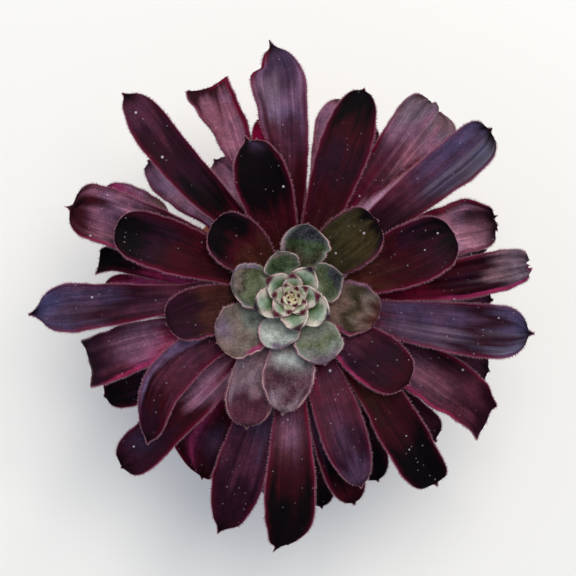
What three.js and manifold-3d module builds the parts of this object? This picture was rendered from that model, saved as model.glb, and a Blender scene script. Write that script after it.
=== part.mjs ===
// Potted aeonium: a dark purple leaf rosette on a bare woody stem, growing in a clay pot.
// Units are millimetres and +Z is up. The origin is on the ground, under the middle of the pot.
import * as THREE from "three";
import { mergeVertices } from "three/addons/utils/BufferGeometryUtils.js";
import Module from "manifold-3d";

const TOUCHING_GAP = 0.3; // left between pieces that touch

// Pot: a turned clay pot with a thick band round its rim and one drain hole.
const POT_HEIGHT = 58;
const POT_RIM_RADIUS = 33;
const POT_BAND_FOOT_RADIUS = 31.6; // outside of the band where it starts
const POT_BAND_STEP = 1.8; // how far the band stands out from the wall below it
const POT_BAND_DEPTH = 15;
const POT_FOOT_RADIUS = 22;
const POT_WALL = 3.6;
const POT_FLOOR = 4.5;
const POT_EDGE = 0.8; // chamfer on the foot, the band and the lip
const DRAIN_RADIUS = 5;
const POT_SIDES = 40;

// Soil: it fills the pot to just under the rim, slightly heaped round the stem.
const SOIL_DROP = 7; // from the rim down to the soil at the wall
const SOIL_HEAP = 2.5;
const SOIL_LUMP = 0.5;

// Stem: it stands straight in the soil, then bows over to the rosette's own axis.
const STEM_RADIUS = 5;
const STEM_FOOT_RADIUS = 5.8;
const STEM_DEPTH = 24; // length that stands in the soil
const STEM_SIDES = 16;
const STEM_TOP = 106.6; // where the stem ends under the heart
const ROSETTE_X = 2.7; // the rosette's axis, measured from the pot's
const ROSETTE_Y = -0.8;

// Leaves leave the stem one after another in a spiral, the youngest highest.
const SPIRAL_START = 108; // direction of the leaf of age 0, degrees anticlockwise from +X
const SPIRAL_TURN = 137.9; // degrees from each leaf to the next older one
const SPIRAL_TOP = 106; // height where the leaf of age 0 leaves the stem
const SPIRAL_PITCH = 0.44; // each older leaf sits this much lower

// How leaves stand by age: [age, slope at the stem, slope at the tip], in degrees above level.
const SLOPES = [
  [0, 54, 28],
  [8, 34, 12],
  [20, 23, -4],
  [35, 10, -14],
  [58, -8, -20],
];

// Leaf blades.
const BASE_THICKNESS = 2.1;
const BLADE_THICKNESS = 1.5;
const MARGIN_THICKNESS = 0.7;
const TIP_HALF_WIDTH = 0.35;
const HANDLE = 0.35; // length of the midrib's curve handles, as a share of the leaf's
const RIPPLES = 2.5; // waves along a rippled margin
const LEAF_STATIONS = [0, 0.16, 0.34, 0.52, 0.68, 0.8, 0.9, 0.96, 1];
const LEAF_COLUMNS = [-1, -0.5, 0, 0.5, 1];
const LEAF_DEFAULTS = {
  widest: 0.78, // where the blade is widest, as a share of its length
  neck: 0.36, // width at the stem, as a share of the widest
  flare: 1.7, // how late the blade opens out
  square: 2.2, // how square its end is: 2 is round
  cup: 0.22, // how far the margins rise, as a share of half the width
  roll: 0, // degrees by which the right margin is lifted at the tip
  skew: 0, // how far the point moves to the right, as a share of half the width
  lift: 0, // degrees added to the slope at the stem
  nod: 0, // degrees added to the slope at the tip
  lean: 0, // degrees added to the direction in which it leaves the stem
  ripple: 0, // how far the margins wave up and down
};

// Each leaf: its age in the spiral, the direction of its tip, the tip's distance from the
// rosette's axis and the blade's full width. Ages left out belong to leaves that have dropped.
const LEAVES = [
  { age: 0, toward: 108, reach: 13.8, width: 10.5, widest: 0.58, neck: 0.42 },
  { age: 1, toward: 258, reach: 15, width: 12.2, widest: 0.58, neck: 0.42 },
  { age: 2, toward: 22, reach: 16.5, width: 11.6, widest: 0.6, neck: 0.42 },
  { age: 3, toward: 168, reach: 18, width: 13, widest: 0.62, neck: 0.38 },
  { age: 4, toward: 296, reach: 21.2, width: 13, widest: 0.64, neck: 0.36, roll: 6 },
  { age: 5, toward: 77.5, reach: 21.6, lift: -3, width: 13.6, widest: 0.64, neck: 0.36 },
  { age: 6, toward: 211, reach: 25, lift: -4, width: 14.6, widest: 0.65, neck: 0.34, roll: -6 },
  { age: 7, toward: 347, reach: 25.3, width: 14.3, widest: 0.66, neck: 0.34 },
  { age: 8, toward: 138, reach: 30.8, width: 15.2, widest: 0.7, neck: 0.38, square: 2.5 },
  { age: 9, toward: 265.5, reach: 33.3, width: 14.2, widest: 0.68, neck: 0.4, cup: 0.14 },
  { age: 10, toward: 42, reach: 32.6, width: 16, widest: 0.7, neck: 0.36, square: 2.6 },
  { age: 11, toward: 192, reach: 36.4, width: 14.6, widest: 0.72, neck: 0.36, square: 2.5 },
  { age: 12, toward: 323.5, reach: 41.3, width: 15.4, widest: 0.72, square: 2.6, roll: 8 },
  { age: 13, toward: 106.5, reach: 47.3, width: 15.3, widest: 0.74, cup: 0.26 },
  { age: 14, toward: 251, reach: 39.8, width: 14, widest: 0.72, nod: -6, cup: 0.16 },
  { age: 15, toward: 21.5, reach: 49.4, width: 17.4, widest: 0.76, square: 2.5, cup: 0.28 },
  { age: 16, toward: 159, reach: 53.8, width: 15.2, widest: 0.78, square: 2.4, cup: 0.28 },
  { age: 17, toward: 290, reach: 58, width: 13.2, widest: 0.68, neck: 0.4, nod: -10 },
  { age: 18, toward: 71, reach: 63.3, width: 14.9, widest: 0.7, nod: -8, cup: 0.28 },
  { age: 19, toward: 224, reach: 59.3, width: 12, widest: 0.64, skew: -0.25, cup: 0.55 },
  { age: 20, toward: 351, reach: 70.3, width: 15.3, widest: 0.86, square: 2.4 },
  { age: 21, toward: 128, reach: 75.8, width: 10.8, widest: 0.76, skew: -0.4, cup: 0.3 },
  { age: 22, toward: 269.2, reach: 73.2, width: 14.8, widest: 0.84, flare: 2.4, skew: 0.6, lean: 8 },
  { age: 23, toward: 39.6, reach: 75.2, width: 14, widest: 0.8, square: 3, roll: -8 },
  { age: 24, toward: 183, reach: 76, width: 14, widest: 0.84, flare: 2.4, square: 1.9, cup: 0.3 },
  { age: 25, toward: 307.6, reach: 69.6, width: 13.8, widest: 0.84, square: 2.8, cup: 0.3 },
  { age: 26, toward: 93, reach: 75, width: 16.2, widest: 0.8, skew: -0.35, roll: 6 },
  { age: 27, toward: 225, reach: 71, width: 12.3, widest: 0.82, square: 3, cup: 0.35 },
  { age: 28, toward: 6.8, reach: 70.6, width: 12.2, widest: 0.84, square: 3, lean: -5, ripple: 1 },
  { age: 29, toward: 158.2, reach: 71.8, width: 16.2, widest: 0.84, square: 2.6, lean: 4, ripple: 0.7 },
  { age: 30, toward: 286.8, reach: 64.7, width: 12, cup: 0.3 },
  { age: 31, toward: 53.8, reach: 70.6, width: 17.6, widest: 0.82, square: 3, lean: -9, ripple: 1.2 },
  { age: 32, toward: 198, reach: 65.4, width: 14, widest: 0.86, square: 4, nod: -12 },
  { age: 33, toward: 328.4, reach: 69.4, width: 14.4, widest: 0.86, square: 3.5, skew: 0.5, ripple: 0.8 },
  { age: 34, toward: 110.8, reach: 68.8, width: 13.4, widest: 0.86, square: 4, nod: -14, ripple: 0.7 },
  { age: 35, toward: 253.6, reach: 73.8, width: 14.1, widest: 0.8, skew: 0.2, cup: 0.3 },
  { age: 36, toward: 20, reach: 65.7, width: 16, widest: 0.82, square: 3, roll: 6, ripple: 0.8 },
  { age: 37, toward: 168.5, reach: 60, width: 12, widest: 0.8, square: 2.6, skew: -0.5 },
  { age: 38, toward: 315, reach: 61.4, width: 13.5, widest: 0.84, square: 3 },
  { age: 39, toward: 98, reach: 56.5, width: 13 },
  { age: 41, toward: 359, reach: 60.7, width: 12 },
  { age: 42, toward: 136.5, reach: 61, width: 13, square: 3, roll: 8 },
  { age: 43, toward: 278, reach: 65.5, width: 12 },
  { age: 44, toward: 67.5, reach: 61.5, width: 12 },
  { age: 46, toward: 341, reach: 65.7, width: 12.5, square: 3 },
  { age: 47, toward: 119.5, reach: 48, width: 12 },
  { age: 48, toward: 240.5, reach: 62, width: 14.5, skew: -0.5, lean: -5 },
  { age: 49, toward: 13.5, reach: 61.6, width: 13 },
  { age: 50, toward: 150.5, reach: 67.5, width: 13.5, lean: -8 },
  { age: 51, toward: 295, reach: 63, width: 12 },
  { age: 52, toward: 75, reach: 63, width: 13, lean: -3 },
  { age: 53, toward: 208, reach: 66, width: 14.4, square: 2.8 },
  { age: 56, toward: 262.6, reach: 62.8, width: 12 },
  { age: 58, toward: 177, reach: 59.5, width: 12 },
];

// Heart: the spiral runs on inwards over the growing tip, where the leaves are still small.
const HEART_LEAVES = 18;
const HEART_SHRINK = 0.1; // each younger leaf is smaller by this share
const HEART_LEAD = 4; // degrees by which tips run ahead of the spiral
const HEART_REACH = 12.4; // tip distance of the outermost leaf
const HEART_WIDTH = 9.5;
const HEART_LEAST_WIDTH = 1; // added to every width, so the innermost stay solid
const HEART_ROOT = 3.6; // distance from the axis to the root of the outermost leaf
const HEART_RISE = 2.2; // how much higher the innermost leaf is rooted
const HEART_LAUNCH = [62, 78]; // slope at the root of the outermost and the innermost leaf
const HEART_ARRIVE = [34, 74]; // slope at the tip of the same two
const HEART_STATIONS = [0, 0.3, 0.6, 0.85, 1];
const HEART_COLUMNS = [-1, 0, 1];
const DOME_RADIUS = 4.6; // growing tip that carries the heart's leaves
const DOME_HEIGHT = 4;
const DOME_SHOULDER = 1; // height of the straight part under the dome
const DOME_STEPS = 5;

const wasm = await Module();
wasm.setup();

const FULL_TURN = 2 * Math.PI;
const MERGE_DISTANCE = 1e-4;
const UP = new THREE.Vector3(0, 0, 1);
const { degToRad, radToDeg, euclideanModulo, lerp } = THREE.MathUtils;

// Unit vector in a direction anticlockwise from +X and at a slope above level, in degrees.
function heading(direction, slope) {
  const flat = Math.cos(degToRad(slope));
  const [x, y] = [Math.cos(degToRad(direction)), Math.sin(degToRad(direction))];
  return new THREE.Vector3(flat * x, flat * y, Math.sin(degToRad(slope)));
}

// Closed skin over a row of rings. Each ring holds its upper points from left to right and then
// its lower points from right to left, so that both faces are split into triangles alike.
function loft(rings) {
  const size = rings[0].length;
  const half = size / 2;
  const index = [];
  for (let row = 0; row < rings.length - 1; row++) {
    for (let column = 0; column < size; column++) {
      const a = row * size + column;
      const b = row * size + ((column + 1) % size);
      const [c, d] = [b + size, a + size];
      index.push(...(column < half ? [a, b, c, a, c, d] : [a, b, d, b, c, d]));
    }
  }
  const last = (rings.length - 1) * size;
  for (let column = 0; column < half - 1; column++) {
    const [top, nextTop] = [column, column + 1];
    const [low, nextLow] = [size - 1 - column, size - 2 - column];
    index.push(top, low, nextTop, nextTop, low, nextLow);
    index.push(last + top, last + nextTop, last + low);
    index.push(last + nextTop, last + nextLow, last + low);
  }
  const geometry = new THREE.BufferGeometry().setFromPoints(rings.flat());
  geometry.setIndex(index);
  return geometry;
}

// Half the blade's width at share s of its length, as a share of half the widest width.
function outline(leaf, s) {
  if (s <= leaf.widest) {
    const x = s / leaf.widest;
    const opening = x ** leaf.flare * (1 + leaf.flare * (1 - x));
    return leaf.neck + (1 - leaf.neck) * opening;
  }
  const x = (s - leaf.widest) / (1 - leaf.widest);
  return (1 - x ** leaf.square) ** (1 / leaf.square);
}

// Middle line of a leaf from the stem to its tip.
function midrib(leaf) {
  const direction = SPIRAL_START + SPIRAL_TURN * leaf.age + leaf.lean;
  const foot = heading(direction, 0).multiplyScalar(leaf.root);
  foot.z = leaf.height;
  const tip = heading(leaf.toward, 0).multiplyScalar(leaf.reach);
  const run = tip.clone().setZ(0).distanceTo(foot.clone().setZ(0));
  const straight = radToDeg(Math.atan2(tip.y - foot.y, tip.x - foot.x));
  const bend = euclideanModulo(straight - direction + 180, 360) - 180;
  tip.z = foot.z + run * Math.tan(degToRad((leaf.launch + leaf.arrive) / 2));
  const handle = foot.distanceTo(tip) * HANDLE;
  const near = foot.clone().addScaledVector(heading(direction, leaf.launch), handle);
  const far = tip.clone().addScaledVector(heading(straight + bend, leaf.arrive), -handle);
  return new THREE.CubicBezierCurve3(foot, near, far, tip);
}

// Rings of a leaf's blade at the given shares of its length.
function bladeRings(leaf, stations, columns) {
  const curve = midrib(leaf);
  return stations.map((s) => {
    const middle = curve.getPoint(s);
    const ahead = curve.getTangent(s);
    const level = new THREE.Vector3().crossVectors(ahead, UP).normalize();
    const right = level.clone().applyAxisAngle(ahead, -degToRad(leaf.roll) * s);
    const up = new THREE.Vector3().crossVectors(right, ahead);
    const half = Math.max((leaf.width / 2) * outline(leaf, s), TIP_HALF_WIDTH);
    const beyond = Math.max(0, (s - leaf.widest) / (1 - leaf.widest));
    const sideways = (leaf.skew * leaf.width * beyond ** 2) / 2;
    const body = lerp(BASE_THICKNESS, BLADE_THICKNESS, Math.sqrt(s));
    const middleThickness = lerp(body, MARGIN_THICKNESS, beyond ** 2);
    const point = (u, face) => {
      const thickness = lerp(middleThickness, MARGIN_THICKNESS, u * u);
      const wave = leaf.ripple * u ** 4 * Math.sin(FULL_TURN * (s * RIPPLES + u / 6)) * s;
      const rise = leaf.cup * half * u * u * Math.min(1, 2 * s) + wave + (face * thickness) / 2;
      return middle.clone().addScaledVector(right, u * half + sideways).addScaledVector(up, rise);
    };
    const top = columns.map((u) => point(u, 1));
    const under = columns.map((u) => point(u, -1)).reverse();
    return [...top, ...under];
  });
}

// Slopes of a leaf of this age at the stem and at the tip, from the table.
function slopes(age) {
  const next = SLOPES.findIndex((row) => row[0] >= age);
  if (next === 0) return [SLOPES[0][1], SLOPES[0][2]];
  const [before, after] = [SLOPES[next - 1], SLOPES[next]];
  const share = (age - before[0]) / (after[0] - before[0]);
  return [lerp(before[1], after[1], share), lerp(before[2], after[2], share)];
}

// A large leaf, with everything that its age settles filled in.
function grownLeaf(entry) {
  const leaf = { ...LEAF_DEFAULTS, ...entry };
  const [launch, arrive] = slopes(leaf.age);
  leaf.launch = launch + leaf.lift;
  leaf.arrive = arrive + leaf.nod;
  leaf.height = SPIRAL_TOP - SPIRAL_PITCH * leaf.age;
  const tilted = (BASE_THICKNESS / 2) * Math.sin(degToRad(Math.abs(leaf.launch)));
  leaf.root = STEM_RADIUS + TOUCHING_GAP + tilted;
  return leaf;
}

// A small leaf of the heart, rooted in the dome of the growing tip. Step 1 is the outermost.
function heartLeaf(step) {
  const size = Math.exp(-HEART_SHRINK * (step - 1));
  return {
    ...LEAF_DEFAULTS,
    age: -step,
    toward: SPIRAL_START - SPIRAL_TURN * step + HEART_LEAD,
    reach: HEART_REACH * size,
    width: HEART_WIDTH * size + HEART_LEAST_WIDTH,
    widest: 0.5,
    neck: 0.6,
    cup: 0.3,
    root: HEART_ROOT * size ** 1.5,
    height: STEM_TOP + TOUCHING_GAP + DOME_SHOULDER + HEART_RISE * (1 - size),
    launch: lerp(HEART_LAUNCH[1], HEART_LAUNCH[0], size),
    arrive: lerp(HEART_ARRIVE[1], HEART_ARRIVE[0], size),
  };
}

// The same shape with corners shared and nothing but positions kept.
function merged(geometry) {
  const bare = geometry.clone();
  bare.deleteAttribute("normal");
  bare.deleteAttribute("uv");
  return mergeVertices(bare, MERGE_DISTANCE);
}

function toSolid(geometry) {
  const closed = merged(geometry);
  return new wasm.Manifold(new wasm.Mesh({
    numProp: 3,
    vertProperties: new Float32Array(closed.attributes.position.array),
    triVerts: new Uint32Array(closed.index.array),
  }));
}

function fromSolid(solid) {
  const { vertProperties, triVerts } = solid.getMesh();
  const geometry = new THREE.BufferGeometry();
  geometry.setAttribute("position", new THREE.BufferAttribute(new Float32Array(vertProperties), 3));
  geometry.setIndex(new THREE.BufferAttribute(new Uint32Array(triVerts), 1));
  return geometry;
}

// A turned piece: the profile is a list of [radius, height] that runs anticlockwise.
function turned(profile, sides) {
  const points = profile.map(([radius, height]) => new THREE.Vector2(radius, height));
  return merged(new THREE.LatheGeometry(points, sides).rotateX(Math.PI / 2));
}

const bandFoot = POT_HEIGHT - POT_BAND_DEPTH;
const wallTop = POT_BAND_FOOT_RADIUS - POT_BAND_STEP; // outside of the wall under the band
const wallSlope = (wallTop - POT_FOOT_RADIUS) / bandFoot;
const insideRadius = (height) => POT_FOOT_RADIUS + wallSlope * height - POT_WALL;

function pot() {
  return turned([
    [DRAIN_RADIUS, 0],
    [POT_FOOT_RADIUS - POT_EDGE, 0],
    [POT_FOOT_RADIUS, POT_EDGE],
    [wallTop, bandFoot],
    [POT_BAND_FOOT_RADIUS - POT_EDGE, bandFoot],
    [POT_BAND_FOOT_RADIUS, bandFoot + POT_EDGE],
    [POT_RIM_RADIUS, POT_HEIGHT - POT_EDGE],
    [POT_RIM_RADIUS - POT_EDGE, POT_HEIGHT],
    [insideRadius(POT_HEIGHT), POT_HEIGHT],
    [insideRadius(POT_FLOOR), POT_FLOOR],
    [DRAIN_RADIUS, POT_FLOOR],
    [DRAIN_RADIUS, 0],
  ], POT_SIDES);
}

const soilTop = POT_HEIGHT - SOIL_DROP; // at the wall
const stemFoot = soilTop - STEM_DEPTH;
const stemHole = STEM_FOOT_RADIUS + TOUCHING_GAP;

function soil() {
  const outer = (height) => insideRadius(height) - TOUCHING_GAP;
  const floor = POT_FLOOR + TOUCHING_GAP;
  const surface = [1, 0.75, 0.5, 0.25, 0].map((share) => [
    lerp(stemHole, outer(soilTop), share),
    soilTop + SOIL_HEAP * (1 - share),
  ]);
  const geometry = turned([
    [0, floor],
    [outer(floor), floor],
    ...surface,
    [stemHole, stemFoot - TOUCHING_GAP],
    [0, stemFoot - TOUCHING_GAP],
  ], POT_SIDES);
  const spots = geometry.attributes.position;
  for (let i = 0; i < spots.count; i++) {
    const [x, y, z] = [spots.getX(i), spots.getY(i), spots.getZ(i)];
    const radius = Math.hypot(x, y);
    const open = radius > stemHole + 1 && radius < outer(soilTop) - 1 && z >= soilTop;
    const lump = Math.sin(x * 0.9 + 1) * Math.cos(y * 1.1) + Math.sin(y * 0.5 - x * 0.4);
    if (open) spots.setZ(i, z + SOIL_LUMP * lump);
  }
  return geometry;
}

// The stem's route: [share of the way from the pot's axis to the rosette's, height, radius].
function stemRoute() {
  return [
    [0, stemFoot, STEM_FOOT_RADIUS],
    [0, soilTop + SOIL_HEAP + 0.5, STEM_FOOT_RADIUS],
    [0.12, soilTop + 8, STEM_FOOT_RADIUS - 0.3],
    [0.5, soilTop + 14, STEM_RADIUS],
    [0.88, soilTop + 19, STEM_RADIUS],
    [1, soilTop + 22, STEM_RADIUS],
    [1, STEM_TOP, STEM_RADIUS],
  ];
}

function stem() {
  const rings = stemRoute().map(([share, height, radius]) => {
    const middle = new THREE.Vector3(ROSETTE_X * share, ROSETTE_Y * share, height);
    return Array.from({ length: STEM_SIDES }, (_, side) => {
      const direction = 180 + ((side + 0.5) * 360) / STEM_SIDES;
      return heading(direction, 0).multiplyScalar(radius).add(middle);
    });
  });
  return loft(rings);
}

function heart() {
  const foot = STEM_TOP + TOUCHING_GAP;
  const arc = Array.from({ length: DOME_STEPS }, (_, step) => {
    const angle = (step / DOME_STEPS) * (Math.PI / 2);
    const height = foot + DOME_SHOULDER + (DOME_HEIGHT - DOME_SHOULDER) * Math.sin(angle);
    return [DOME_RADIUS * Math.cos(angle), height];
  });
  let solid = toSolid(turned([[0, foot], [DOME_RADIUS, foot], ...arc, [0, foot + DOME_HEIGHT]], STEM_SIDES));
  for (let step = 1; step <= HEART_LEAVES; step++) {
    const rings = bladeRings(heartLeaf(step), HEART_STATIONS, HEART_COLUMNS);
    solid = solid.add(toSolid(loft(rings)));
  }
  return fromSolid(solid);
}

function material(color, roughness) {
  return new THREE.MeshStandardMaterial({ color, roughness, metalness: 0 });
}

const CLAY = "#b5673f";
const EARTH = "#3a2a20";
const BARK = "#7d6a55";
const YOUNG = new THREE.Color("#8fae78");
const MATURE = new THREE.Color("#3a1526");
const MATURE_AGE = 12;

const plant = new THREE.Group();
const group = new THREE.Group();
plant.position.set(ROSETTE_X, ROSETTE_Y, 0);
group.add(plant);

function place(parent, name, geometry, look) {
  geometry.computeVertexNormals();
  const mesh = new THREE.Mesh(geometry, look);
  mesh.name = name;
  parent.add(mesh);
}

place(group, "pot", pot(), material(CLAY, 0.9));
place(group, "soil", soil(), material(EARTH, 1));
place(group, "stem", stem(), material(BARK, 0.9));
place(plant, "heart", heart(), material(YOUNG, 0.6));
for (const entry of LEAVES) {
  const shade = YOUNG.clone().lerp(MATURE, Math.min(1, entry.age / MATURE_AGE));
  const blade = loft(bladeRings(grownLeaf(entry), LEAF_STATIONS, LEAF_COLUMNS));
  place(plant, `leaf_${String(entry.age).padStart(2, "0")}`, blade, material(shade, 0.5));
}

export default group;
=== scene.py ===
"""Potted aeonium: finished leaves, stem, soil and pot, made round the fixed frame of the part."""

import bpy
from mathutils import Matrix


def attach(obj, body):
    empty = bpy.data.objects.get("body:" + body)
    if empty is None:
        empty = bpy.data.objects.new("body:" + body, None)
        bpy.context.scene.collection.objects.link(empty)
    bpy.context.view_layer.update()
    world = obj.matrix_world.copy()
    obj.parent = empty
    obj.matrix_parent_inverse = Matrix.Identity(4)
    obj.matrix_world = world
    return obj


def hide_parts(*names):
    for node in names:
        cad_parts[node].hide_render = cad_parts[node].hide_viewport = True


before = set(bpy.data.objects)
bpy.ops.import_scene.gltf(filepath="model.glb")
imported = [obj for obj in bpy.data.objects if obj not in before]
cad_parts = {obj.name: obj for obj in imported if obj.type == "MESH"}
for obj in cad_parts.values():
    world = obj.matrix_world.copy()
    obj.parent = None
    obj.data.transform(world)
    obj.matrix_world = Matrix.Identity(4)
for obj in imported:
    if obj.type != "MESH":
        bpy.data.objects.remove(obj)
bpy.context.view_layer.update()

import math
import random

import bpy
from mathutils import Color, Vector, noise

bl_info = {
    "name": "Potted Aeonium",
    "version": (1, 0, 0),
    "blender": (4, 5, 0),
    "location": "View3D > Sidebar > Aeonium",
    "description": "Dresses a potted aeonium: leaves, heart, stem, soil, pot and stage",
    "category": "Add Mesh",
}

MM = 0.001
BODY = "root"
BLADE_MAP = "Blade"  # UV map: across the blade, then along it
MERGE = 1e-6  # points nearer than this become one
LEAF_SEED, HEART_SEED, SOIL_SEED = 7, 3, 21

# The growth of the plant, in millimetres and degrees, the same as in the part.
ROSETTE = Vector((2.7, -0.8, 0.0))  # middle of the rosette, seen from the pot's axis
SPIRAL_START = 108.0
SPIRAL_TURN = 137.9
SPIRAL_TOP = 106.0
SPIRAL_PITCH = 0.44
STEM_RADIUS = 5.0
STEM_TOP = 106.6
GAP = 0.3
SLOPES = [(0, 54, 28), (8, 34, 12), (20, 23, -4), (35, 10, -14), (58, -8, -20)]  # age, foot, tip
HANDLE = 0.35  # how far the midrib's control points lie from its ends, as a share of its length
RIPPLES = 2.5  # waves along a rippled margin

# The pot, its soil and the foot of the stem, in millimetres, the same as in the part.
POT_HEIGHT = 58.0
RIM_RADIUS = 33.0
BAND_RADIUS = 31.6  # at the band's lower edge
BAND_FOOT = 43.0
WALL_TOP = 29.8  # radius of the wall where it meets the band
FOOT_RADIUS = 22.0
DRAIN_RADIUS = 5.0
WALL = 3.6
FLOOR = 4.5
SOIL_TOP = 51.0
SOIL_HEAP = 2.5
SOIL_HOLE = 6.1
STEM_FOOT = 27.0
STEM_FOOT_RADIUS = 5.8

# How finely each piece is cut, along and then across or round it.
BLADE_CUTS = (46, 18)
HEART_CUTS = (22, 12)
STEM_CUTS = (260, 72)
SOIL_RINGS, SOIL_SIDES = 44, 128
END_CROWDING = 1.35  # above 1, cuts lie closer together towards the tip
MARGIN_CROWDING = 1.25  # the same towards the margins

# The small leaves of the heart.
HEART_SHRINK = 0.088  # natural logarithm of one leaf's size over the next one's
HEART_LEAD = 4  # degrees by which tips run ahead of the spiral
HEART_LEAST_WIDTH = 0.8
HEART_ROOT = 3.6  # distance from the axis to the root of the outermost leaf
HEART_SHEATH = 0.6
HEART_GROOVE = 0.1
HEART_UNEVEN = 0.05
HEART_FRINGED = 16  # outer leaves that carry hairs
HEART_PAINTS = ("green", "glow", "frost", "rim", "blush", "dark_tip", "red_tip")

# Shares of a leaf's length at which its five tones lie.
STOPS = (0.2, 0.42, 0.62, 0.79, 0.92)
# Shares of a leaf's length at which its left and right halves have their own widths.
PLACES = (0.5, 0.7, 0.85, 0.96)
NOTCH_AT = 0.87
FIRST_HAIR = 0.12
# Leaves of a lower age than this take this finish.
FINISHES = ((6, "young_leaf"), (12, "ring_leaf"), (math.inf, "dark_leaf"))
# How waxy each tone is.
WAX = {
    "slate": 0.6, "dusk": 0.8, "lilac": 0.5, "mauve": 0.3, "pink": 0.3, "frost": 0.2, "ash": 0.2}

# A large leaf's form where its row below says nothing else. Lengths are in millimetres.
LEAF_DEFAULTS = {
    "widest": 0.78,  # share of its length at which it is widest
    "neck": 0.36,  # width of its foot, as a share of its full width
    "flare": 1.7,  # above 1, it widens late
    "square": 2.2,  # above 2, its end is squarer than an ellipse
    "cup": 0.22,  # how steeply its margins rise
    "roll": 0.0,  # degrees that its tip turns about its length
    "skew": 0.0,  # how far its tip lies to the right, in half widths
    "lift": 0.0,  # degrees added to the slope of its foot
    "nod": 0.0,  # degrees added to the slope of its tip
    "lean": 0.0,  # degrees added to the direction of its foot
    "ripple": 0.0,  # height of the waves in its margins
    "point": 1.2,  # length of the point at its tip
    "ribs": 0.0,  # height of the folds along it
    "ragged": 0.0,  # how far its end is bitten back
    "hollow": 0.0,  # how far the middle of its end is drawn back
    "droop": 0.0,  # how far its end curls down
    "notch": 0.0,  # share of the left half's width that is missing near its tip
    "wavy": 1.0,  # how uneven its margins are
    "cut": 0.0,  # share of its width that a cut end keeps
    "slant": 0.0,  # how much farther its end reaches on the right than on the left
    "sway": 0.0,  # how far its middle swings to the right
    "left": (1.0, 1.0, 1.0, 1.0),  # the left half's width at the four PLACES, as a share
    "right": (1.0, 1.0, 1.0, 1.0),
    # Painted shade across the leaf: one margin painted lighter and the other darker, partly as
    # light falls, partly the leaf's own lighter side.
    "shade": (1.0, 1.0),  # how light the left and the right margin are
    "folds": (),  # turned margins: side (0 for all round), width, start, end and tone
    # Most of these spots are painted highlights; a few are paler or pinker patches of the leaf's
    # own colour.
    "sheen": (),  # paler spots: share along, place across, length, width and tone
    "bites": (),  # dents in the end: place across from -1 to 1, depth and width
}


def row(age, toward, reach, width, tones, **form):
    """A large leaf: age, direction and distance of its tip, width, tones and its finer form."""
    form.update(age=age, toward=toward, reach=reach, width=width, tones=tones.split())
    return form


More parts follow.
